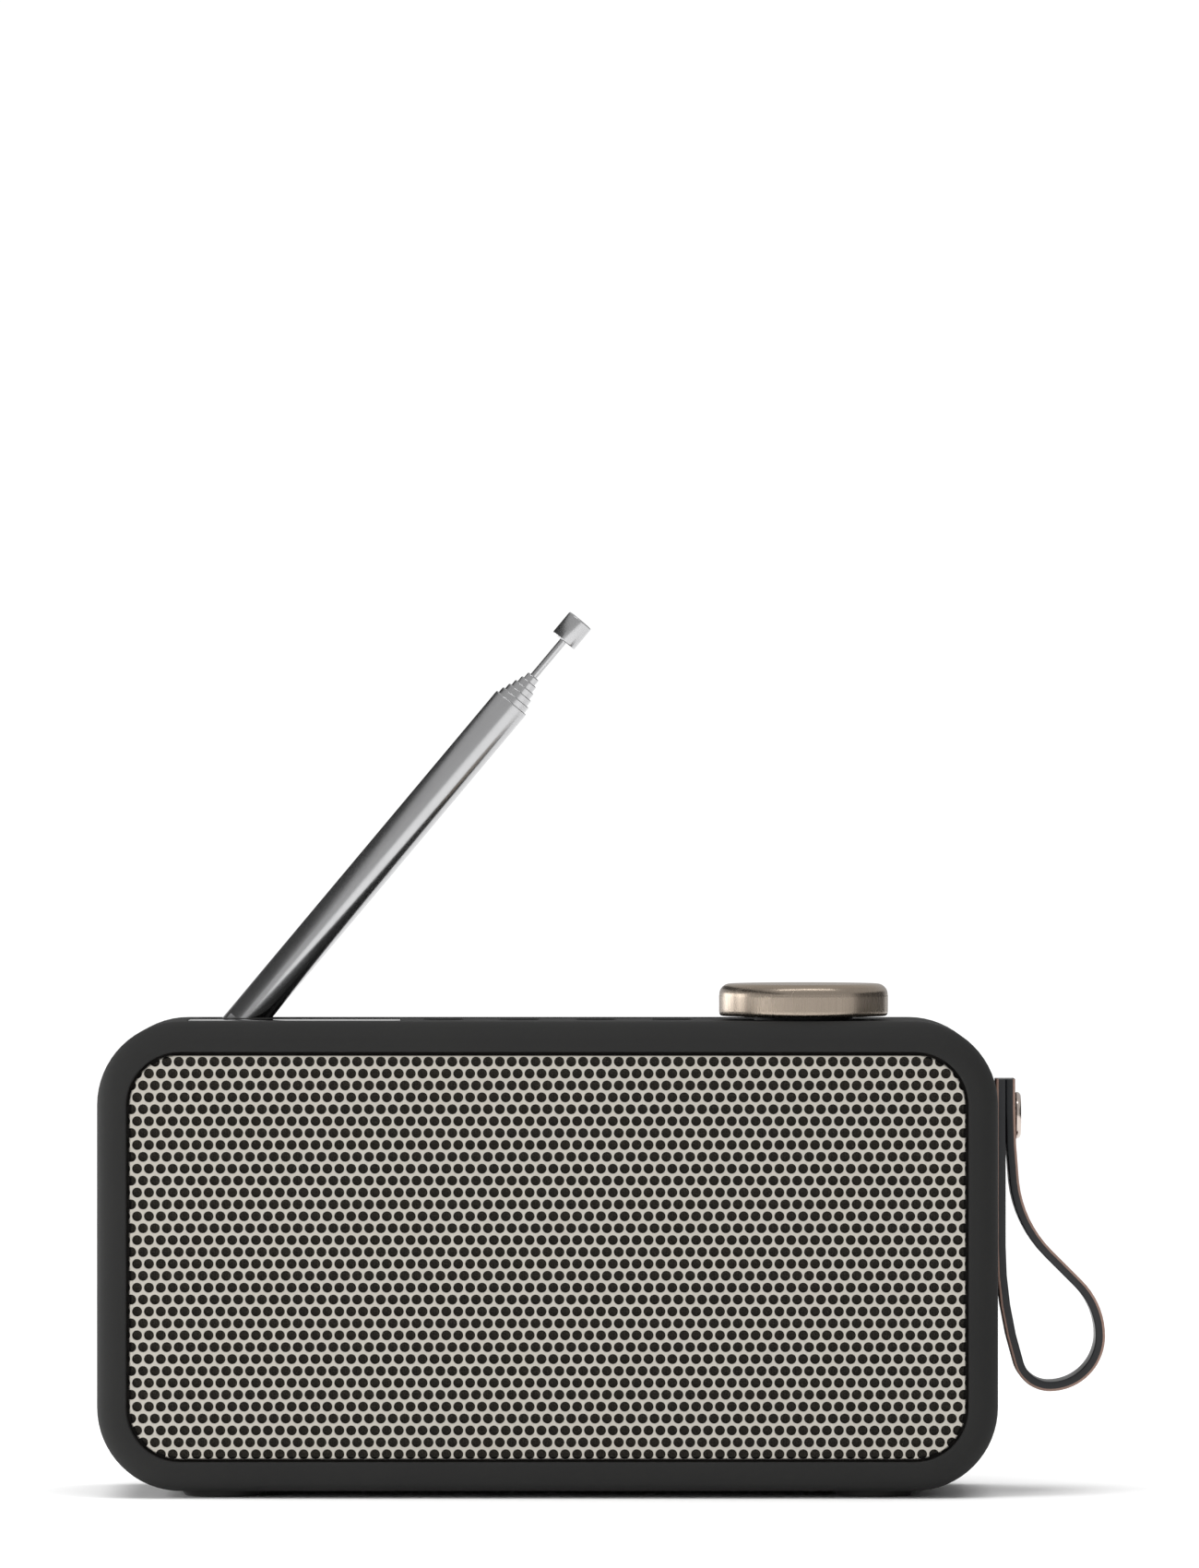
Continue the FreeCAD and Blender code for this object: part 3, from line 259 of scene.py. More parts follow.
def rounded_plate(name: str, low: Vector, high: Vector, corner: float, edge: float,
                  segments: int = 16) -> bpy.types.Object:
    """A plate that faces -Y, with round corners and a rounded front edge.

    Args:
        name: the piece's name.
        low: its lowest corner.
        high: its highest corner.
        corner: radius of its four corners.
        edge: rounding of its front edge.
        segments: flats in each corner.

    Returns:
        The piece, in place.
    """
    piece = block_between(name, low, high)
    with editing(piece, Element.EDGE):
        pick(piece, Element.EDGE, lambda m, d: abs(d.y) > 1 - ALIGNED)
        bpy.ops.mesh.bevel(offset=corner, segments=segments, affect="EDGES")
        bpy.ops.mesh.select_all(action="DESELECT")
        pick(piece, Element.EDGE, lambda m, d: abs(m.y - low.y) < TOUCH and abs(d.y) < ALIGNED)
        bpy.ops.mesh.bevel(offset=edge, segments=4, affect="EDGES")
    smooth(piece)
    return piece


# ---- finishes ------------------------------------------------------------------------------------
def linear(code: str) -> Colour:
    """Turns an sRGB hex value such as "#c7c2ba" to a linear colour.

    Args:
        code: the hex value.

    Returns:
        Red, green, blue and an alpha of 1.
    """
    parts = [int(code[i:i + 2], 16) / 255 for i in (1, 3, 5)]
    red, green, blue = [p / 12.92 if p <= 0.04045 else ((p + 0.055) / 1.055) ** 2.4 for p in parts]
    return red, green, blue, 1.0


def add_node(tree: bpy.types.NodeTree, kind: str, inputs: Optional[Dict] = None,
             **settings) -> bpy.types.Node:
    """Adds a shader node with its settings and links.

    Args:
        tree: the material's node tree.
        kind: the node's type.
        inputs: a value, or a socket to link from, for each input by its name or number.
        **settings: the node's own properties.

    Returns:
        The new node.
    """
    made = tree.nodes.new(kind)
    for name, value in settings.items():
        setattr(made, name, value)
    for key, value in (inputs or {}).items():
        if isinstance(value, bpy.types.NodeSocket):
            tree.links.new(value, made.inputs[key])
        else:
            made.inputs[key].default_value = value
    return made


# A wave texture's bands lie this far apart at scale 1, so at this scale they lie 1 apart.
WAVE_SCALE = 0.314


class Texture(Enum):
    """The patterns that a layer of a finish can have."""

    GRAIN = "ShaderNodeTexNoise"
    CELLS = "ShaderNodeTexVoronoi"
    LINES = "ShaderNodeTexWave"


@dataclass(frozen=True)
class Layer:
    """One pattern of a finish: what it is, how large, and how far it raises, tints or dulls the surface."""

    texture: Texture
    size_mm: float
    height_mm: float = 0.0
    tint: float = 0.0
    dull: float = 0.0
    detail: float = 2.0
    stretch: Tuple[float, float, float] = (1.0, 1.0, 1.0)
    direction: str = "X"
    rings: bool = False

    def value(self, tree: bpy.types.NodeTree, place: bpy.types.NodeSocket) -> bpy.types.NodeSocket:
        """Makes the pattern's nodes.

        Args:
            tree: the material's node tree.
            place: the surface's coordinates in metres.

        Returns:
            The socket with the pattern's value, from 0 to 1.
        """
        scale = tuple(s / (self.size_mm * MM) for s in self.stretch)
        mapped = add_node(tree, "ShaderNodeMapping", {"Vector": place, "Scale": scale}).outputs["Vector"]
        if self.texture is Texture.LINES:
            kind = {"wave_type": "RINGS", "rings_direction": self.direction} if self.rings else {
                "wave_type": "BANDS", "bands_direction": self.direction}
            inputs = {"Vector": mapped, "Scale": WAVE_SCALE}
            return add_node(tree, self.texture.value, inputs, **kind).outputs["Fac"]
        if self.texture is Texture.CELLS:
            return add_node(tree, self.texture.value, {"Vector": mapped, "Scale": 1.0}).outputs["Distance"]
        made = add_node(tree, self.texture.value, {"Vector": mapped, "Scale": 1.0, "Detail": self.detail})
        return made.outputs["Fac"]


@dataclass(frozen=True)
class Finish:
    """A real material as it was made: its colour, its plain shader values and its pattern layers."""

    name: str
    colour: str
    roughness: float
    metallic: float = 0.0
    ior: float = 1.5
    tint_colour: str = ""
    layers: Tuple[Layer, ...] = ()
    sheen: float = 0.0
    coat: float = 0.0
    specular: float = 0.5

    def material(self, centre: Vector = Vector()) -> bpy.types.Material:
        """Builds the material, or gives the one already built with this name and centre.

        Args:
            centre: where round or lengthwise patterns have their middle, in metres.

        Returns:
            The material.
        """
        label = self.name
        if centre.length > TOUCH:
            label += f"_{centre.x / MM:.0f}_{centre.z / MM:.0f}"
        if label in bpy.data.materials:
            return bpy.data.materials[label]
        made = bpy.data.materials.new(label)
        made.use_nodes = True
        tree = made.node_tree
        shader = tree.nodes["Principled BSDF"]
        for socket, value in (("Base Color", linear(self.colour)), ("Roughness", self.roughness),
                              ("Metallic", self.metallic), ("IOR", self.ior), ("Sheen Weight", self.sheen),
                              ("Coat Weight", self.coat), ("Specular IOR Level", self.specular)):
            shader.inputs[socket].default_value = value
        made.diffuse_color = linear(self.colour)
        if self.layers:
            self.lay(tree, shader, centre)
        return made

    def lay(self, tree: bpy.types.NodeTree, shader: bpy.types.Node, centre: Vector) -> None:
        """Lays the pattern layers over the plain surface.

        Args:
            tree: the material's node tree.
            shader: its surface shader.
            centre: the middle of the patterns.
        """
        place = add_node(tree, "ShaderNodeTexCoord").outputs["Object"]
        if centre.length > TOUCH:
            mapping = {"Vector": place, "Location": -centre}
            place = add_node(tree, "ShaderNodeMapping", mapping).outputs["Vector"]
        colour, rough, normal = None, None, None
        for layer in self.layers:
            value = layer.value(tree, place)
            if layer.tint:
                reach = {"Value": value, "To Max": layer.tint}
                amount = add_node(tree, "ShaderNodeMapRange", reach).outputs[0]
                below = colour if colour else linear(self.colour)
                mix = add_node(tree, "ShaderNodeMix", data_type="RGBA")
                for number, item in ((0, amount), (6, below), (7, linear(self.tint_colour or self.colour))):
                    if isinstance(item, bpy.types.NodeSocket):
                        tree.links.new(item, mix.inputs[number])
                    else:
                        mix.inputs[number].default_value = item
                colour = mix.outputs[2]
            if layer.dull:
                low = self.roughness - layer.dull / 2
                rough = add_node(tree, "ShaderNodeMapRange",
                                 {"Value": value, "To Min": low, "To Max": low + layer.dull}).outputs[0]
            if layer.height_mm:
                inputs = {"Height": value, "Distance": layer.height_mm * MM, "Strength": 1.0}
                if normal:
                    inputs["Normal"] = normal
                normal = add_node(tree, "ShaderNodeBump", inputs).outputs["Normal"]
        for name, socket in (("Base Color", colour), ("Roughness", rough), ("Normal", normal)):
            if socket:
                tree.links.new(socket, shader.inputs[name])


# Rubbery polyurethane paint over moulded ABS: almost no gloss, a fine spray grain, slightly uneven.
SOFT_TOUCH = Finish("soft_touch_painted_abs", "#202020", 0.7, tint_colour="#262625", specular=0.2, layers=(
    Layer(Texture.GRAIN, 26.0, tint=0.8, detail=3.0), Layer(Texture.GRAIN, 0.45, height_mm=0.012, dull=0.08)))
# Keys share the paint, a touch darker because they are sprayed on their own.
KEY_PAINT = Finish("soft_touch_painted_keys", "#1c1c1c", 0.65, tint_colour="#222222", specular=0.18, layers=(
    Layer(Texture.GRAIN, 6.0, tint=0.7), Layer(Texture.GRAIN, 0.4, height_mm=0.01, dull=0.1)))
# Punched aluminium sheet, bead-blasted and champagne-anodised: a bright even satin with a sandy grain.
BLASTED_ALUMINIUM = Finish("blasted_anodised_aluminium", "#c9c5bc", 0.5, metallic=0.85, tint_colour="#beb8ae",
                           layers=(Layer(Texture.GRAIN, 9.0, tint=0.7, detail=4.0),
                                   Layer(Texture.GRAIN, 0.3, height_mm=0.015, dull=0.16, detail=3.0)))
# Turned aluminium, brushed along its side and anodised champagne brown: warm, with fine upright lines.
BRUSHED_SIDE = Finish("brushed_anodised_aluminium", "#ac9f91", 0.27, metallic=1.0, tint_colour="#988b7d",
                      layers=(Layer(Texture.GRAIN, 0.4, tint=0.6, dull=0.07, stretch=(1.0, 1.0, 0.01)),))
# The same metal faced on a lathe: fine rings that spread the light into a fan.
SPUN_TOP = Finish("spun_anodised_aluminium", "#b5a695", 0.28, metallic=1.0, tint_colour="#9f9080", layers=(
    Layer(Texture.LINES, 0.16, height_mm=0.003, dull=0.12, direction="Z", rings=True),
    Layer(Texture.GRAIN, 5.0, tint=0.5)))
# Chromium-plated drawn brass tube: a mirror with faint drawing lines and handling haze.
CHROME = Finish("chromium_plated_brass", "#c4c4c5", 0.2, metallic=1.0, tint_colour="#b6b6b7", layers=(
    Layer(Texture.GRAIN, 7.0, tint=0.5, dull=0.08, detail=4.0),))
# Moulded unpainted ABS: a fine spark-eroded texture.
BLACK_ABS = Finish("moulded_black_abs", "#141414", 0.5, tint_colour="#1c1c1c", layers=(
    Layer(Texture.GRAIN, 0.5, height_mm=0.02, dull=0.12), Layer(Texture.GRAIN, 12.0, tint=0.7)))
# Polished smoke-tinted acrylic: deep black gloss with the slightest orange peel.
SMOKE_ACRYLIC = Finish("polished_smoke_acrylic", "#050506", 0.05, tint_colour="#08080a", ior=1.49, coat=0.3,
                       layers=(Layer(Texture.GRAIN, 9.0, height_mm=0.002, tint=0.6, detail=1.0),))
# Moulded neoprene: dull black with a dusty bloom.
NEOPRENE = Finish("moulded_neoprene", "#2c2c2b", 0.75, tint_colour="#383735", specular=0.3, sheen=0.1,
                  layers=(Layer(Texture.GRAIN, 3.0, tint=0.7, detail=4.0),
                          Layer(Texture.GRAIN, 0.4, height_mm=0.02, dull=0.12)))
# Vegetable-tanned cowhide, brown, with a pressed pebble grain.
LEATHER = Finish("pebbled_brown_cowhide", "#4a3024", 0.5, tint_colour="#2c1b14", specular=0.4, layers=(
    Layer(Texture.GRAIN, 7.0, tint=0.5, detail=4.0),
    Layer(Texture.CELLS, 0.75, height_mm=0.09, tint=0.45, dull=0.22)))
# The cut edge of the hide, rubbed smooth: paler and pinker than its face, partly its own raw colour and partly a
# painted highlight where the bevelled corner catches light.
RAW_EDGE_AND_HIGHLIGHT = Finish("leather_edge_and_painted_highlight", "#a5877a", 0.55, tint_colour="#7c6054", layers=(
    Layer(Texture.GRAIN, 0.6, height_mm=0.02, tint=0.7, dull=0.15, detail=5.0),))
# Black lining leather with painted edges: smooth acrylic edge paint, softly shining.
EDGE_PAINT = Finish("edge_painted_lining_leather", "#121417", 0.36, tint_colour="#1a1c20", layers=(
    Layer(Texture.GRAIN, 4.0, tint=0.6, height_mm=0.03, detail=3.0),
    Layer(Texture.GRAIN, 0.5, height_mm=0.01)))
# Brass stud in rose-tinted nickel plate, tumble-polished.
ROSE_NICKEL = Finish("rose_nickel_plated_brass", "#d3c6be", 0.2, metallic=1.0, tint_colour="#bcaea6", layers=(
    Layer(Texture.GRAIN, 2.5, tint=0.5, dull=0.12, detail=4.0),))
# Zinc-plated steel: grey, cloudy, slightly blue.
ZINC_STEEL = Finish("zinc_plated_steel", "#9fa3a6", 0.32, metallic=1.0, tint_colour="#7f8386", layers=(
    Layer(Texture.CELLS, 1.1, tint=0.5, dull=0.2), Layer(Texture.GRAIN, 0.3, height_mm=0.006)))
# Pressed steel in black electrocoat: thin, even, semi-matt.
COATED_STEEL = Finish("electrocoated_pressed_steel", "#1b1b1d", 0.42, tint_colour="#26262a", coat=0.15,
                      layers=(Layer(Texture.GRAIN, 0.6, height_mm=0.012, dull=0.12),
                              Layer(Texture.GRAIN, 14.0, tint=0.6)))
# Sintered ferrite: near-black ceramic with ground faces.
FERRITE = Finish("ground_ferrite", "#202022", 0.55, tint_colour="#313134", layers=(
    Layer(Texture.GRAIN, 0.8, height_mm=0.03, tint=0.6, dull=0.2, detail=4.0),))
# Pressed paper pulp: fibres show as fine uneven felting.
PAPER_CONE = Finish("pressed_paper_pulp", "#1c1b1a", 0.85, tint_colour="#2e2c2a", sheen=0.15, layers=(
    Layer(Texture.GRAIN, 0.9, height_mm=0.08, tint=0.7, detail=6.0, stretch=(1.0, 0.4, 1.6)),))
# Knitted polyester scrim: threads 0.5 mm apart both ways, drawn at that size.
SCRIM = Finish("knitted_polyester_scrim", "#2c2820", 0.9, tint_colour="#1c1914", sheen=0.25, layers=(
    Layer(Texture.LINES, 0.5, height_mm=0.08, tint=0.5, direction="X"),
    Layer(Texture.LINES, 0.5, height_mm=0.08, tint=0.5, direction="Z")))
# Closed-cell foam: small round cells cut open at the surface.
FOAM = Finish("closed_cell_foam", "#1a1a1a", 0.9, tint_colour="#0d0d0d", layers=(
    Layer(Texture.CELLS, 0.8, height_mm=0.15, tint=0.6),))
# Medium-density fibreboard, felted and dull, coloured black: partly the baffle's own black stain and partly
# painted shade, so that the thin gap round the grille shows dark.
SHADE_BLACK_FIBREBOARD = Finish("black_fibreboard_with_painted_shade", "#14110f", 0.85, tint_colour="#1d1915", layers=(
    Layer(Texture.GRAIN, 1.4, height_mm=0.05, tint=0.7, detail=6.0, stretch=(0.4, 1.0, 1.0)),))
# Solder-masked glass-epoxy: dark green lacquer over copper tracks a millimetre or so apart.
CIRCUIT_BOARD = Finish("solder_masked_glass_epoxy", "#12351f", 0.35, tint_colour="#1d5230", coat=0.2, layers=(
    Layer(Texture.LINES, 1.6, height_mm=0.02, tint=0.7, direction="X"),
    Layer(Texture.LINES, 2.1, height_mm=0.02, tint=0.35, direction="Z")))
# Transfer-moulded epoxy of chip packages: charcoal with a fine sandy skin.
CHIP_EPOXY = Finish("moulded_chip_epoxy", "#1a1a1b", 0.5, tint_colour="#262627", layers=(
    Layer(Texture.GRAIN, 0.25, height_mm=0.01, tint=0.5, dull=0.15),))
# Tin-plated steel sheet: bright with cloudy crystals.
TINPLATE = Finish("tin_plated_steel", "#b9bab8", 0.28, metallic=1.0, tint_colour="#9a9b9a", layers=(
    Layer(Texture.CELLS, 3.0, tint=0.5, dull=0.18),))
# Shrunk PVC sleeve on the cells: blue, glossy, with fine wrinkles.
CELL_SLEEVE = Finish("shrunk_pvc_sleeve", "#1f4f7a", 0.3, tint_colour="#2a628f", coat=0.2, layers=(
    Layer(Texture.GRAIN, 2.5, height_mm=0.03, tint=0.5, stretch=(0.2, 1.0, 1.0)),))
# Moulded clear acrylic, sanded at its end so that it glows evenly.
LIGHT_PIPE = Finish("frosted_clear_acrylic", "#d9dde0", 0.3, tint_colour="#c8cccf", ior=1.49, layers=(
    Layer(Texture.GRAIN, 0.3, height_mm=0.01, tint=0.4),))
# Free-turned brass, left bare.
BARE_BRASS = Finish("turned_brass", "#b99a55", 0.28, metallic=1.0, tint_colour="#a08244", layers=(
    Layer(Texture.GRAIN, 0.4, height_mm=0.006, tint=0.5, dull=0.15, stretch=(1.0, 0.1, 0.1)),))
# Extruded PVC insulation of the leads: red, slightly waxy.
WIRE_SLEEVE = Finish("extruded_pvc_insulation", "#7a1414", 0.42, tint_colour="#8f2020", layers=(
    Layer(Texture.GRAIN, 1.5, height_mm=0.01, tint=0.5),))
# Charcoal flocked card, which gives back little light.
BLACK_CARD = Finish("charcoal_flocked_card", "#4a4a4a", 0.95, specular=0.0)
# Seamless studio paper.
STUDIO_PAPER = Finish("seamless_white_paper", "#fafafa", 0.95, tint_colour="#f4f4f4", specular=0.0, layers=(
    Layer(Texture.GRAIN, 90.0, tint=0.4),))


# ---- assemblies ----------------------------------------------------------------------------------
class Assembly:
    """A group of pieces that is built and handed over together."""

    def hand_over(self, piece: bpy.types.Object, body: str, slot: str, *nodes: str) -> None:
        """Puts a finished piece on its body and reports it.

        Args:
            piece: the finished piece, in place.
            body: the body that it moves with.
            slot: the record's material slot of its finish; not used.
            *nodes: the CAD nodes that it stands for.
        """
        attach(piece, body)
        if nodes:
            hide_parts(*nodes)
        LOG.info("%s rides on %s, %d faces, stands for %s", piece.name, body, len(piece.data.polygons),
                 ", ".join(nodes) or "nothing")


def dress(piece: bpy.types.Object, *materials: bpy.types.Material) -> None:
    """Gives a piece its materials, the first one all over."""
    piece.data.materials.clear()
    for material in materials:
        piece.data.materials.append(material)


@dataclass
class Grille(Assembly):
    """The punched front sheet; the scrim behind it is made by Scrim."""

    pitch: float = 2.477 * MM
    hole_radius: float = 1.06 * MM
    hole_sides: int = 16
    rows: int = 34
    rows_drop: float = 0.2 * MM
    corner: float = 10.65 * MM
    edge: float = 0.42 * MM

    def cell(self, first: Vector) -> bpy.types.Object:
        """One square of sheet with its hole, with middle points where the next rows' corners meet it.

        Args:
            first: the hole's centre.

        Returns:
            The flat cell, facing -Y.
        """
        upright = (math.pi / 2, 0, 0)
        bpy.ops.object.select_all(action="DESELECT")
        bpy.ops.mesh.primitive_plane_add(size=self.pitch, location=first, rotation=upright)
        piece = bpy.context.object
        piece.name = "grille_sheet"
        bpy.ops.object.transform_apply(location=True, rotation=True)
        with editing(piece, Element.EDGE):
            bpy.ops.mesh.select_all(action="SELECT")
            bpy.ops.mesh.delete(type="ONLY_FACE")
            pick(piece, Element.EDGE, lambda m, d: abs(d.x) > 0.9)
            bpy.ops.mesh.subdivide(number_cuts=1)
            bpy.ops.mesh.primitive_circle_add(vertices=self.hole_sides, radius=self.hole_radius,
                                              location=first, rotation=upright)
            bpy.ops.mesh.select_all(action="SELECT")
            bpy.ops.mesh.fill(use_beauty=True)
        return piece

    def build(self) -> None:
        """Repeats the cell over the sheet, gives it thickness and trims it to its rounded outline."""
        low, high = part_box("grille")
        centre = (low + high) / 2
        columns = math.ceil((high.x - low.x) / 2 / self.pitch) + 1
        top = centre.z - self.rows_drop + (self.rows - 1) / 2 * self.pitch
        piece = self.cell(Vector((centre.x - columns * self.pitch, low.y, top)))
        for count, step in ((2, (self.pitch / 2, 0, -self.pitch)), (2 * columns + 1, (self.pitch, 0, 0)),
                            (self.rows // 2, (0, 0, -2 * self.pitch))):
            add_modifier(piece, "ARRAY", count=count, use_relative_offset=False, use_constant_offset=True,
                         constant_offset_displace=step, use_merge_vertices=True, merge_threshold=MERGE)
        with editing(piece):
            weld()
        add_modifier(piece, "SOLIDIFY", thickness=high.y - low.y, offset=0)
        middle = sum((v.co.y for v in piece.data.vertices), 0.0) / len(piece.data.vertices)
        settle(piece, Matrix.Translation((0, centre.y - middle, 0)))
        cut(piece, self.trimmer(low, high))
        smooth(piece)
        dress(piece, BLASTED_ALUMINIUM.material())
        self.hand_over(piece, "housing", "grille_metal", "grille")

    def trimmer(self, low: Vector, high: Vector) -> bpy.types.Object:
        """A block hollowed to the sheet's outline and rounded edge.

        Args:
            low: the sheet's lowest corner.
            high: its highest corner.

        Returns:
            The tool that cuts away what lies outside the outline.
        """
        hair, spare = 0.001 * MM, 4 * MM
        plug = rounded_plate("plug", low - Vector((0, hair, 0)), high + Vector((0, 2 * spare, 0)),
                             self.corner, self.edge, segments=14)
        margin = Vector((2 * spare, spare, 2 * spare))
        block = block_between("block", low - margin, high + margin)
        cut(block, plug)
        return block


@dataclass
class Scrim(Assembly):
    """The knitted cloth stretched behind the grille."""

    corner: float = 10.0 * MM
    edge: float = 0.12 * MM

    def build(self) -> None:
        """Makes the thin stretched cloth with its soft edge."""
        low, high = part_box("acoustic_cloth")
        piece = rounded_plate("scrim", low, high, self.corner, self.edge)
        dress(piece, SCRIM.material())
        self.hand_over(piece, "housing", "black_fabric", "acoustic_cloth")


@dataclass
class Aerial(Assembly):
    """The telescopic mast: six drawn tubes, the last thin rod and its end."""

    radii: Tuple[float, ...] = tuple(d / 2 * MM for d in (8.1, 7.05, 6.0, 4.95, 3.9, 2.85))
    play: float = 0.075 * MM
    feet: Tuple[float, ...] = tuple(z * MM for z in (6.0, 12.5, 13.2, 13.9, 14.6, 15.3))
    first_top: float = 92.9 * MM
    step: float = 1.45 * MM
    rod_radius: float = 0.8 * MM
    rod_foot: float = 18.5 * MM
    rod_out: float = 9.8 * MM
    tip_radius: float = 2.95 * MM
    tip_length: float = 5.8 * MM
    roll: float = 0.28 * MM
    chamfer: float = 0.08 * MM
    rod_seat: float = 1.5 * MM
    tip_round: float = 0.3 * MM
    tip_dome: float = 0.1 * MM

    def place(self) -> Matrix:
        """The mast's place: its foot at the pivot, its length along its slides' direction."""
        joints = {j["name"]: j for j in frame["joints"]}
        along = Vector(joints["rod_slide"]["axis"])
        turn = Vector((0, 0, 1)).rotation_difference(along).to_matrix().to_4x4()
        return Matrix.Translation(joints["aerial_tilt"]["pos_m"]) @ turn

    def tube(self, index: int) -> bpy.types.Object:
        """One tube with its end rolled in over the next.

        Args:
            index: which tube, from the outside.

        Returns:
            The tube, upright at the origin.
        """
        radius = self.radii[index]
        inner = (self.radii[index + 1] if index + 1 < len(self.radii) else self.rod_radius) + self.play
        foot, top = self.feet[index], self.first_top + self.step * index
        outline = [(inner, foot), (radius, foot)]
        outline += arc((radius - self.roll, top - self.roll), self.roll, 0, 90, 5)
        outline += [(inner + self.chamfer, top), (inner, top - self.chamfer)]
        return turned(f"mast_tube_{index + 1}", outline, bored=True)

    def rod(self, last_top: float) -> bpy.types.Object:
        """The thin last section."""
        top = last_top + self.rod_out + self.rod_seat
        return turned("mast_rod", [(self.rod_radius, self.rod_foot), (self.rod_radius, top)], segments=48)

    def tip(self, last_top: float) -> bpy.types.Object:
        """The button end: a short drum with softened rims and a slightly domed face."""
        foot, radius, soft = last_top + self.rod_out, self.tip_radius, self.tip_round
        top = foot + self.tip_length
        outline = [(self.rod_radius * 0.9, foot)] + arc((radius - soft, foot + soft), soft, -90, 0, 5)
        outline += arc((radius - soft, top - soft - self.tip_dome), soft, 0, 80, 5)
        outline += [(radius * 0.6, top - self.tip_dome * 0.3), (radius * 0.2, top)]
        return turned("mast_tip", outline, segments=64)

    def build(self) -> None:
        """Makes every section and leans it with the mast."""
        place = self.place()
        for index in range(len(self.radii)):
            body = "mast" if index == 0 else f"mast_tube_{index + 1}"
            self.finish(self.tube(index), place, body, f"aerial_tube_{index + 1}")
        last_top = self.first_top + self.step * (len(self.radii) - 1)
        self.finish(self.rod(last_top), place, "mast_rod", "aerial_rod")
        self.finish(self.tip(last_top), place, "mast_rod", "aerial_tip")

    def finish(self, piece: bpy.types.Object, place: Matrix, body: str, node: str) -> None:
        """Leans a piece, plates it and hands it over."""
        settle(piece, place)
        dress(piece, CHROME.material())
        self.hand_over(piece, body, "chrome", node)


@dataclass
class Knob(Assembly):
    """The turned and brushed cap of the volume knob."""

    top_round: float = 2.3 * MM
    foot_round: float = 0.7 * MM
    ridges: int = 180
    ridge_height: float = 0.045 * MM
    dish: float = 0.25 * MM
    skirt: float = 1.6 * MM
    hollow: float = 4.2 * MM
    ring_gap: float = 0.22 * MM
    middle_hole: float = 0.2 * MM
    rim: float = 0.5 * MM
    rim_drop: float = 0.02 * MM
    top_slope: float = 0.75

    def build(self) -> None:
        """Turns the cap, raises the ridges of its side and dishes its top."""
        low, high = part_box("knob_cap")
        radius = (high.x - low.x) / 2 - self.ridge_height
        height = high.z - low.z
        roof = height - self.top_round
        step = self.ring_gap
        band_foot, band_top = self.foot_round + step, roof - step
        outline = [(radius - self.skirt, 0.0)]
        outline += arc((radius - self.foot_round, self.foot_round), self.foot_round, -90, 0, 5)
        # Rings close to both ends of the band keep its long flats upright where they meet the roundings.
        outline += [(radius, z) for z in (self.foot_round + step / 4, band_foot, band_foot + step,
                                          band_top - step, band_top, roof - step / 4)]
        outline += arc((radius - self.top_round, roof), self.top_round, 0, 90, 10)
        outline += [(radius - self.top_round - self.rim, height - self.rim_drop),
                    (radius * 0.6, height - self.dish * 0.75), (radius * 0.3, height - self.dish),
                    (self.middle_hole, height - self.dish)]
        outline += [(self.middle_hole, self.hollow), (radius - self.skirt, self.hollow)]
        piece = turned("knob_cap_turned", outline, self.ridges * 2, bored=True)
        wide = 1 + self.ridge_height / radius
        with editing(piece, Element.VERT):
            column = math.pi / self.ridges
            pick(piece, Element.VERT, lambda m, d: band_foot - MERGE < m.z < band_top + MERGE
                 and math.hypot(m.x, m.y) > radius - MERGE
                 and round(math.atan2(m.y, m.x) / column) % 2 == 0)
            bpy.ops.transform.resize(value=(wide, wide, 1), center_override=(0, 0, 0))
        centre = Vector(((low.x + high.x) / 2, (low.y + high.y) / 2, 0))
        settle(piece, Matrix.Translation((centre.x, centre.y, low.z)))
        dress(piece, BRUSHED_SIDE.material(), SPUN_TOP.material(centre))
        for face in piece.data.polygons:
            if face.normal.z > self.top_slope:
                face.material_index = 1
        self.hand_over(piece, "knob", "knob_metal", "knob_cap")


@dataclass
class Window(Assembly):
    """The dark window of the display."""

    corner: float = 2.0 * MM
    edge: float = 0.2 * MM

    def build(self) -> None:
        """Makes the slab with round corners and a polished edge."""
        low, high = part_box("display_window")
        # The plate helper faces -Y, so the slab is made standing and then laid on its back.
        size = high - low
        piece = rounded_plate("display_window_lens", Vector((0, 0, 0)), Vector((size.x, size.z, size.y)),
                              self.corner, self.edge, segments=10)
        settle(piece, Matrix.Translation((low.x, low.y, high.z)) @ Matrix.Rotation(-math.pi / 2, 4, "X"))
        dress(piece, SMOKE_ACRYLIC.material())
        self.hand_over(piece, "housing", "window", "display_window")


class Side(Enum):
    """Which face of the strap a layer makes up."""

    SKIN = 1
    LINING = -1


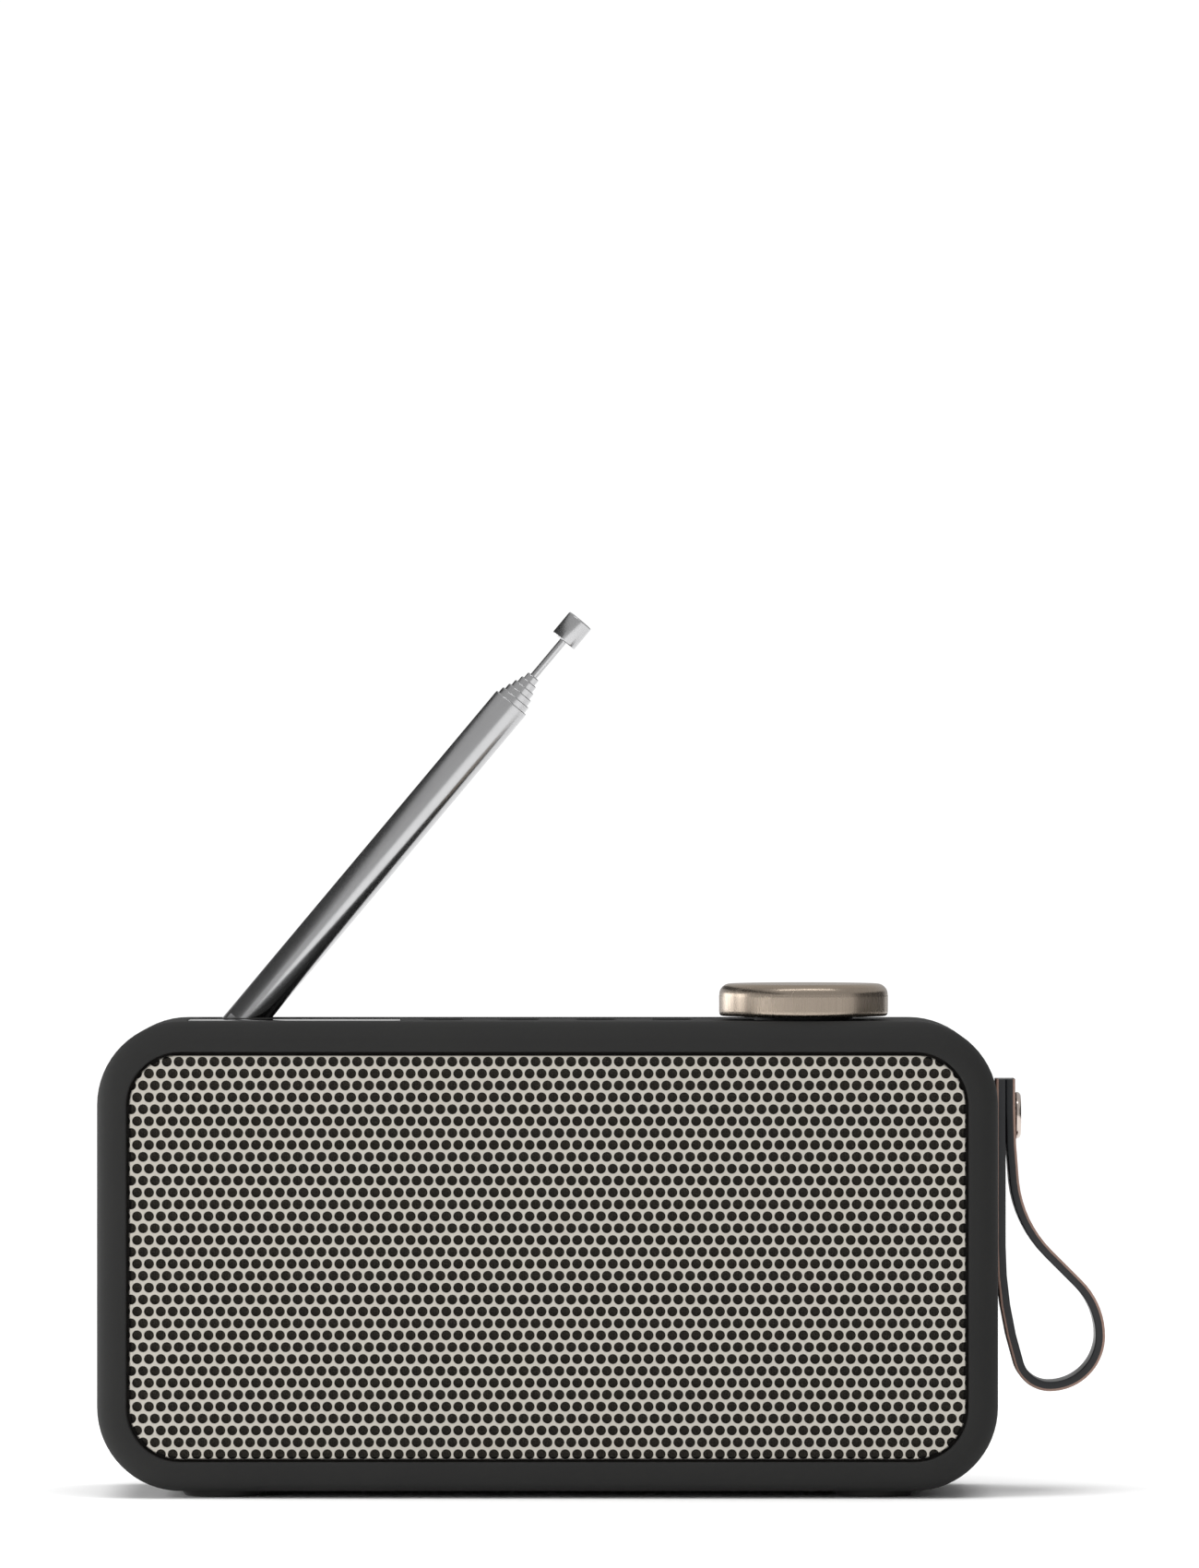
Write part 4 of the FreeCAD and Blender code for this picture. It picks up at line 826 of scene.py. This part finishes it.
@dataclass
class Strap(Assembly):
    """The leather loop: a thin brown skin over a black lining, and the stud that holds it."""

    width: float = 12.0 * MM
    thickness: float = 2.0 * MM
    skin: float = 0.5 * MM
    leg: float = 35.0 * MM
    # Each bend's radius in millimetres and its turn in degrees; a radius of 0 is the straight closing run.
    bends: Tuple[Tuple[float, float], ...] = ((83.0, 17.4), (6.8, 72.6), (10.6, 90.0), (15.4, 45.0),
                                              (0.0, 0.0), (25.0, -39.0), (150.0, -6.0))
    wall_gap: float = 0.2 * MM
    stud_radius: float = 4.95 * MM
    stud_height: float = 1.15 * MM
    stud_round: float = 0.95 * MM
    stud_rim: float = 0.2 * MM
    shank_radius: float = 1.75 * MM
    skin_round: float = 0.28 * MM
    edge_slope: float = 0.55

    def section(self, side: Side, at: Vector) -> bpy.types.Object:
        """The layer's cross-section, flat, at the top of the first leg.

        Args:
            side: which layer.
            at: the middle of the strap's section.

        Returns:
            The flat section, facing down.
        """
        thick = self.skin if side is Side.SKIN else self.thickness - self.skin
        # The loop's outside faces the wall on the first leg, so the skin lies towards -X there.
        outer = -side.value
        shift = (self.thickness - thick) / 2 * outer
        bpy.ops.object.select_all(action="DESELECT")
        bpy.ops.mesh.primitive_plane_add(size=1, location=at + Vector((shift, 0, 0)))
        piece = bpy.context.object
        piece.name = f"strap_{side.name.lower()}"
        piece.scale = (thick, self.width, 1)
        bpy.ops.object.transform_apply(location=True, scale=True)
        with editing(piece, Element.VERT):
            pick(piece, Element.VERT, lambda m, d: (m.x - at.x - shift) * outer > 0)
            bpy.ops.mesh.bevel(offset=self.skin_round, segments=4, affect="VERTICES")
        return piece

    def sweep(self, piece: bpy.types.Object, at: Vector, closing: float, top: float) -> None:
        """Draws the section out along the loop, run by run and bend by bend.

        Args:
            piece: the section.
            at: where the loop's middle line starts.
            closing: length of the straight run that closes the loop.
            top: height at which the second leg ends.
        """
        heading = Vector((0, 0, -1))
        middle = at + heading * self.leg
        with editing(piece):
            bpy.ops.mesh.select_all(action="SELECT")
            self.draw(heading * self.leg)
            for radius, degrees in self.bends:
                if not radius:
                    self.draw(heading * closing)
                    middle += heading * closing
                    continue
                turn = math.radians(degrees)
                side = Vector((-heading.z, 0, heading.x)) * math.copysign(1, turn)
                centre = middle + side * radius * MM
                bpy.ops.mesh.spin(steps=max(2, math.ceil(abs(degrees) / 5)), angle=turn, center=centre,
                                  axis=(0, 1, 0))
                rotation = Matrix.Rotation(-turn, 3, "Y")
                middle, heading = centre + rotation @ (middle - centre), rotation @ heading
            self.draw(Vector((0, 0, top - middle.z)))

    @staticmethod
    def draw(run: Vector) -> None:
        """Draws the selected end of the strap out straight, in three equal stretches."""
        for _ in range(3):
            bpy.ops.mesh.extrude_region_move(TRANSFORM_OT_translate={"value": run / 3})

    def closing_run(self) -> float:
        """Length of the straight run after which the second leg comes back beside the first."""
        heading, reach = 270.0, 0.0
        for radius, degrees in self.bends:
            if not radius:
                slope = math.cos(math.radians(heading))
                continue
            start, heading = heading, heading + degrees
            sense = math.copysign(radius * MM, degrees)
            reach += sense * (math.sin(math.radians(heading)) - math.sin(math.radians(start)))
        return (self.thickness - reach) / slope

    def build(self) -> None:
        """Makes both layers of the loop and its stud."""
        low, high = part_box("strap")
        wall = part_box("front_housing")[1].x
        at = Vector((wall + self.wall_gap + self.thickness / 2, (low.y + high.y) / 2, high.z))
        closing = self.closing_run()
        LOG.info("strap: closing run %.2f mm", closing / MM)
        for side, finish in ((Side.SKIN, LEATHER), (Side.LINING, EDGE_PAINT)):
            piece = self.section(side, at)
            self.sweep(piece, at, closing, high.z)
            self.close(piece)
            dress(piece, finish.material(), RAW_EDGE_AND_HIGHLIGHT.material())
            # The skin's edge faces take the pale edge colour, which is partly a painted highlight on the bevelled
            # corner.
            if side is Side.SKIN:
                for face in piece.data.polygons:
                    face.material_index = int(abs(face.normal.y) > self.edge_slope)
            self.hand_over(piece, "strap_loop", "leather", "strap")
        self.stud()

    @staticmethod
    def close(piece: bpy.types.Object) -> None:
        """Closes both ends of a swept layer and smooths it."""
        with editing(piece, Element.EDGE):
            bpy.ops.mesh.select_non_manifold()
            bpy.ops.mesh.edge_face_add()
            weld()
        smooth(piece, 30)

    def stud(self) -> None:
        """Turns the stud that pins the loop, with a low dome and a soft rim."""
        low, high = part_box("strap_button")
        length = high.x - low.x
        head, soft, radius = length - self.stud_height, self.stud_round, self.stud_radius
        outline = [(self.shank_radius, 0), (self.shank_radius, head),
                   (radius - self.stud_rim, head), (radius, head + self.stud_rim)]
        outline += arc((radius - soft, length - soft), soft, 0, 75, 6)
        outline += [(radius * 0.55, length - 0.01 * MM), (radius * 0.1, length)]
        piece = turned("strap_stud", outline, segments=64)
        middle = Vector((low.x, (low.y + high.y) / 2, (low.z + high.z) / 2))
        settle(piece, Matrix.Translation(middle) @ Matrix.Rotation(math.pi / 2, 4, "Y"))
        dress(piece, ROSE_NICKEL.material())
        self.hand_over(piece, "housing", "nickel", "strap_button")


@dataclass
class CarriedOver(Assembly):
    """The CAD nodes whose shape is final, each in its real finish."""

    finishes: Dict[str, Finish] = field(default_factory=lambda: {
        # The fibreboard's black is partly painted shade for the gap round the grille.
        "shell": SOFT_TOUCH, "foam": FOAM, "board_wood": SHADE_BLACK_FIBREBOARD, "pressed_steel": COATED_STEEL,
        "ferrite": FERRITE, "paper": PAPER_CONE, "rubber": NEOPRENE, "chrome": CHROME, "steel": ZINC_STEEL,
        "black_plastic": BLACK_ABS, "button_plastic": KEY_PAINT, "board": CIRCUIT_BOARD, "chip": CHIP_EPOXY,
        "tin": TINPLATE, "cell": CELL_SLEEVE, "clear": LIGHT_PIPE, "brass": BARE_BRASS,
        "copper_lead": WIRE_SLEEVE, "grille_metal": BLASTED_ALUMINIUM, "black_fabric": SCRIM,
        "knob_metal": BRUSHED_SIDE, "window": SMOKE_ACRYLIC, "leather": LEATHER, "nickel": ROSE_NICKEL})

    def build(self) -> None:
        """Dresses every CAD node by its slot in the record."""
        for part in frame["record"]["subparts"]:
            node = frame["nodes"][part["node"]]
            dress(node, self.finishes[part["material_slot"]].material())
            LOG.info("%s in %s", part["node"], node.data.materials[0].name)


@dataclass
class RubberRoll(Assembly):
    """A rubber roll, held by a fixed frame at its outside and by a moving cone or plate at its inside.

    Attributes:
        node: its CAD node.
        body: the body whose cone or plate holds its inner rim; the ring is not attached to it.
        inner: not used; meant as the radius up to which the roll follows that body whole.
        outer: not used; meant as the radius from which the roll stays with the housing.
    """

    node: str
    body: str
    inner: float = 20.8 * MM
    outer: float = 23.8 * MM

    def build(self) -> None:
        """Copies the CAD ring in place, welds it, dresses it in neoprene and hides the CAD node."""
        source = frame["nodes"][self.node]
        ring = bpy.data.objects.new(f"{self.node}_rubber", source.data.copy())
        bpy.context.scene.collection.objects.link(ring)
        settle(ring, source.matrix_world)
        with editing(ring, Element.VERT):
            bpy.ops.mesh.select_all(action="SELECT")
            bpy.ops.mesh.remove_doubles(threshold=MERGE)
        dress(ring, NEOPRENE.material())
        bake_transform(ring)
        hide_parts(self.node)
        LOG.info("%s bends between housing and %s", ring.name, self.body)


# ---- studio --------------------------------------------------------------------------------------
@dataclass
class Studio:
    """Floor, lights and camera."""

    distance: float = 2.5
    eye_height: float = 148.9 * MM
    view_height: float = 326.4 * MM
    aside: float = -0.7 * MM
    sensor: float = 36.0
    floor_size: float = 12.0
    sun_strength: float = 1.9
    sun_spread: float = 64.0
    room_light: float = 0.56
    backdrop_light: float = 1.05
    sight: float = 50.0

    def floor(self) -> None:
        """Lays the pale paper floor."""
        bpy.ops.object.select_all(action="DESELECT")
        bpy.ops.mesh.primitive_plane_add(size=self.floor_size, location=(0, 0, 0))
        floor = bpy.context.object
        floor.name = "paper_floor"
        dress(floor, STUDIO_PAPER.material())

    def light(self, name: str, place: Vector, size: Tuple[float, float], power: float,
              towards: Vector = Vector((0, 0, 0.06))) -> bpy.types.Object:
        """Hangs one softbox.

        Args:
            name: its name.
            place: where it hangs.
            size: its width and height in metres.
            power: its power in watts.
            towards: the point it faces.

        Returns:
            The lamp.
        """
        data = bpy.data.lights.new(name, "AREA")
        data.shape, data.size, data.size_y, data.energy = "RECTANGLE", size[0], size[1], power
        lamp = bpy.data.objects.new(name, data)
        bpy.context.scene.collection.objects.link(lamp)
        lamp.location = place
        lamp.rotation_euler = (towards - place).to_track_quat("-Z", "Y").to_euler()
        return lamp

    def flag(self, name: str, place: Vector, size: Tuple[float, float], slope: float) -> None:
        """Stands one dark card beside the radio, for polished metal to mirror.

        Args:
            name: its name.
            place: its middle.
            size: its length along Y and its height, in metres.
            slope: how far its top rises towards the back, in radians.
        """
        bpy.ops.object.select_all(action="DESELECT")
        bpy.ops.mesh.primitive_plane_add(size=1, location=place, rotation=(slope, math.pi / 2, 0))
        card = bpy.context.object
        card.name = name
        card.scale = (size[1], size[0], 1)
        card.visible_camera = False
        dress(card, BLACK_CARD.material())

    def sun(self) -> None:
        """Even light from above, so that the floor is white as far as it goes."""
        data = bpy.data.lights.new("overhead_silk", "SUN")
        data.energy, data.angle = self.sun_strength, math.radians(self.sun_spread)
        lamp = bpy.data.objects.new("overhead_silk", data)
        # The silk is all round the room's top. Only its light counts, so polished metal shows the room.
        lamp.visible_glossy = False
        bpy.context.scene.collection.objects.link(lamp)

    def surroundings(self) -> None:
        """A pale room: grey where it lights the radio, white where it is the background."""
        world = bpy.data.worlds.new("pale_room")
        world.use_nodes = True
        tree = world.node_tree
        room = tree.nodes["Background"]
        room.inputs["Color"].default_value = (1, 1, 1, 1)
        room.inputs["Strength"].default_value = self.room_light
        backdrop = {"Color": (1, 1, 1, 1), "Strength": self.backdrop_light}
        white = add_node(tree, "ShaderNodeBackground", backdrop)
        seen = add_node(tree, "ShaderNodeLightPath").outputs["Is Camera Ray"]
        mix = add_node(tree, "ShaderNodeMixShader", {0: seen, 1: room.outputs[0], 2: white.outputs[0]})
        tree.links.new(mix.outputs[0], tree.nodes["World Output"].inputs["Surface"])
        bpy.context.scene.world = world

    def camera(self) -> None:
        """Sets a level long-lens camera straight in front."""
        front = CAD_BOX[0][1]
        data = bpy.data.cameras.new("camera")
        data.sensor_width = self.sensor
        data.lens = self.sensor * self.distance / self.view_height
        data.clip_end = self.sight
        camera = bpy.data.objects.new("camera", data)
        bpy.context.scene.collection.objects.link(camera)
        camera.location = (self.aside, front - self.distance, self.eye_height)
        camera.rotation_euler = (math.pi / 2, 0, 0)
        bpy.context.scene.camera = camera

    def build(self) -> None:
        """Sets the whole studio."""
        self.camera()
        self.floor()
        self.surroundings()
        self.sun()
        self.light("left_strip", Vector((-1.0, 0.6, 0.15)), (1.3, 0.26), 3.3,
                   towards=Vector((0.05, 0.6, 0.15)))
        self.light("left_softbox", Vector((-1.3, -0.9, 0.45)), (0.35, 0.8), 18).visible_glossy = False
        self.light("top_softbox", Vector((0.05, -0.5, 1.3)), (1.4, 0.16), 3)
        self.flag("left_flag", Vector((-0.45, 0.175, 0.46)), (2.85, 0.25), math.radians(8))
        self.flag("right_flag", Vector((1.05, 0.6, 0.22)), (1.8, 0.42), 0.0)
        bpy.context.scene.view_settings.view_transform = "Standard"


def main() -> None:
    """Builds the radio's looks and the studio."""
    logging.basicConfig(level=logging.INFO, format="%(name)s: %(message)s")
    Studio().build()
    CarriedOver().build()
    rolls = (RubberRoll("left_driver_surround", "left_cone"),
             RubberRoll("right_driver_surround", "right_cone"),
             RubberRoll("radiator_surround", "bass_radiator"))
    for assembly in (Grille(), Scrim(), Aerial(), Knob(), Window(), Strap(), *rolls):
        assembly.build()
    LOG.info("sizes written")


if __name__ == "__main__":
    main()
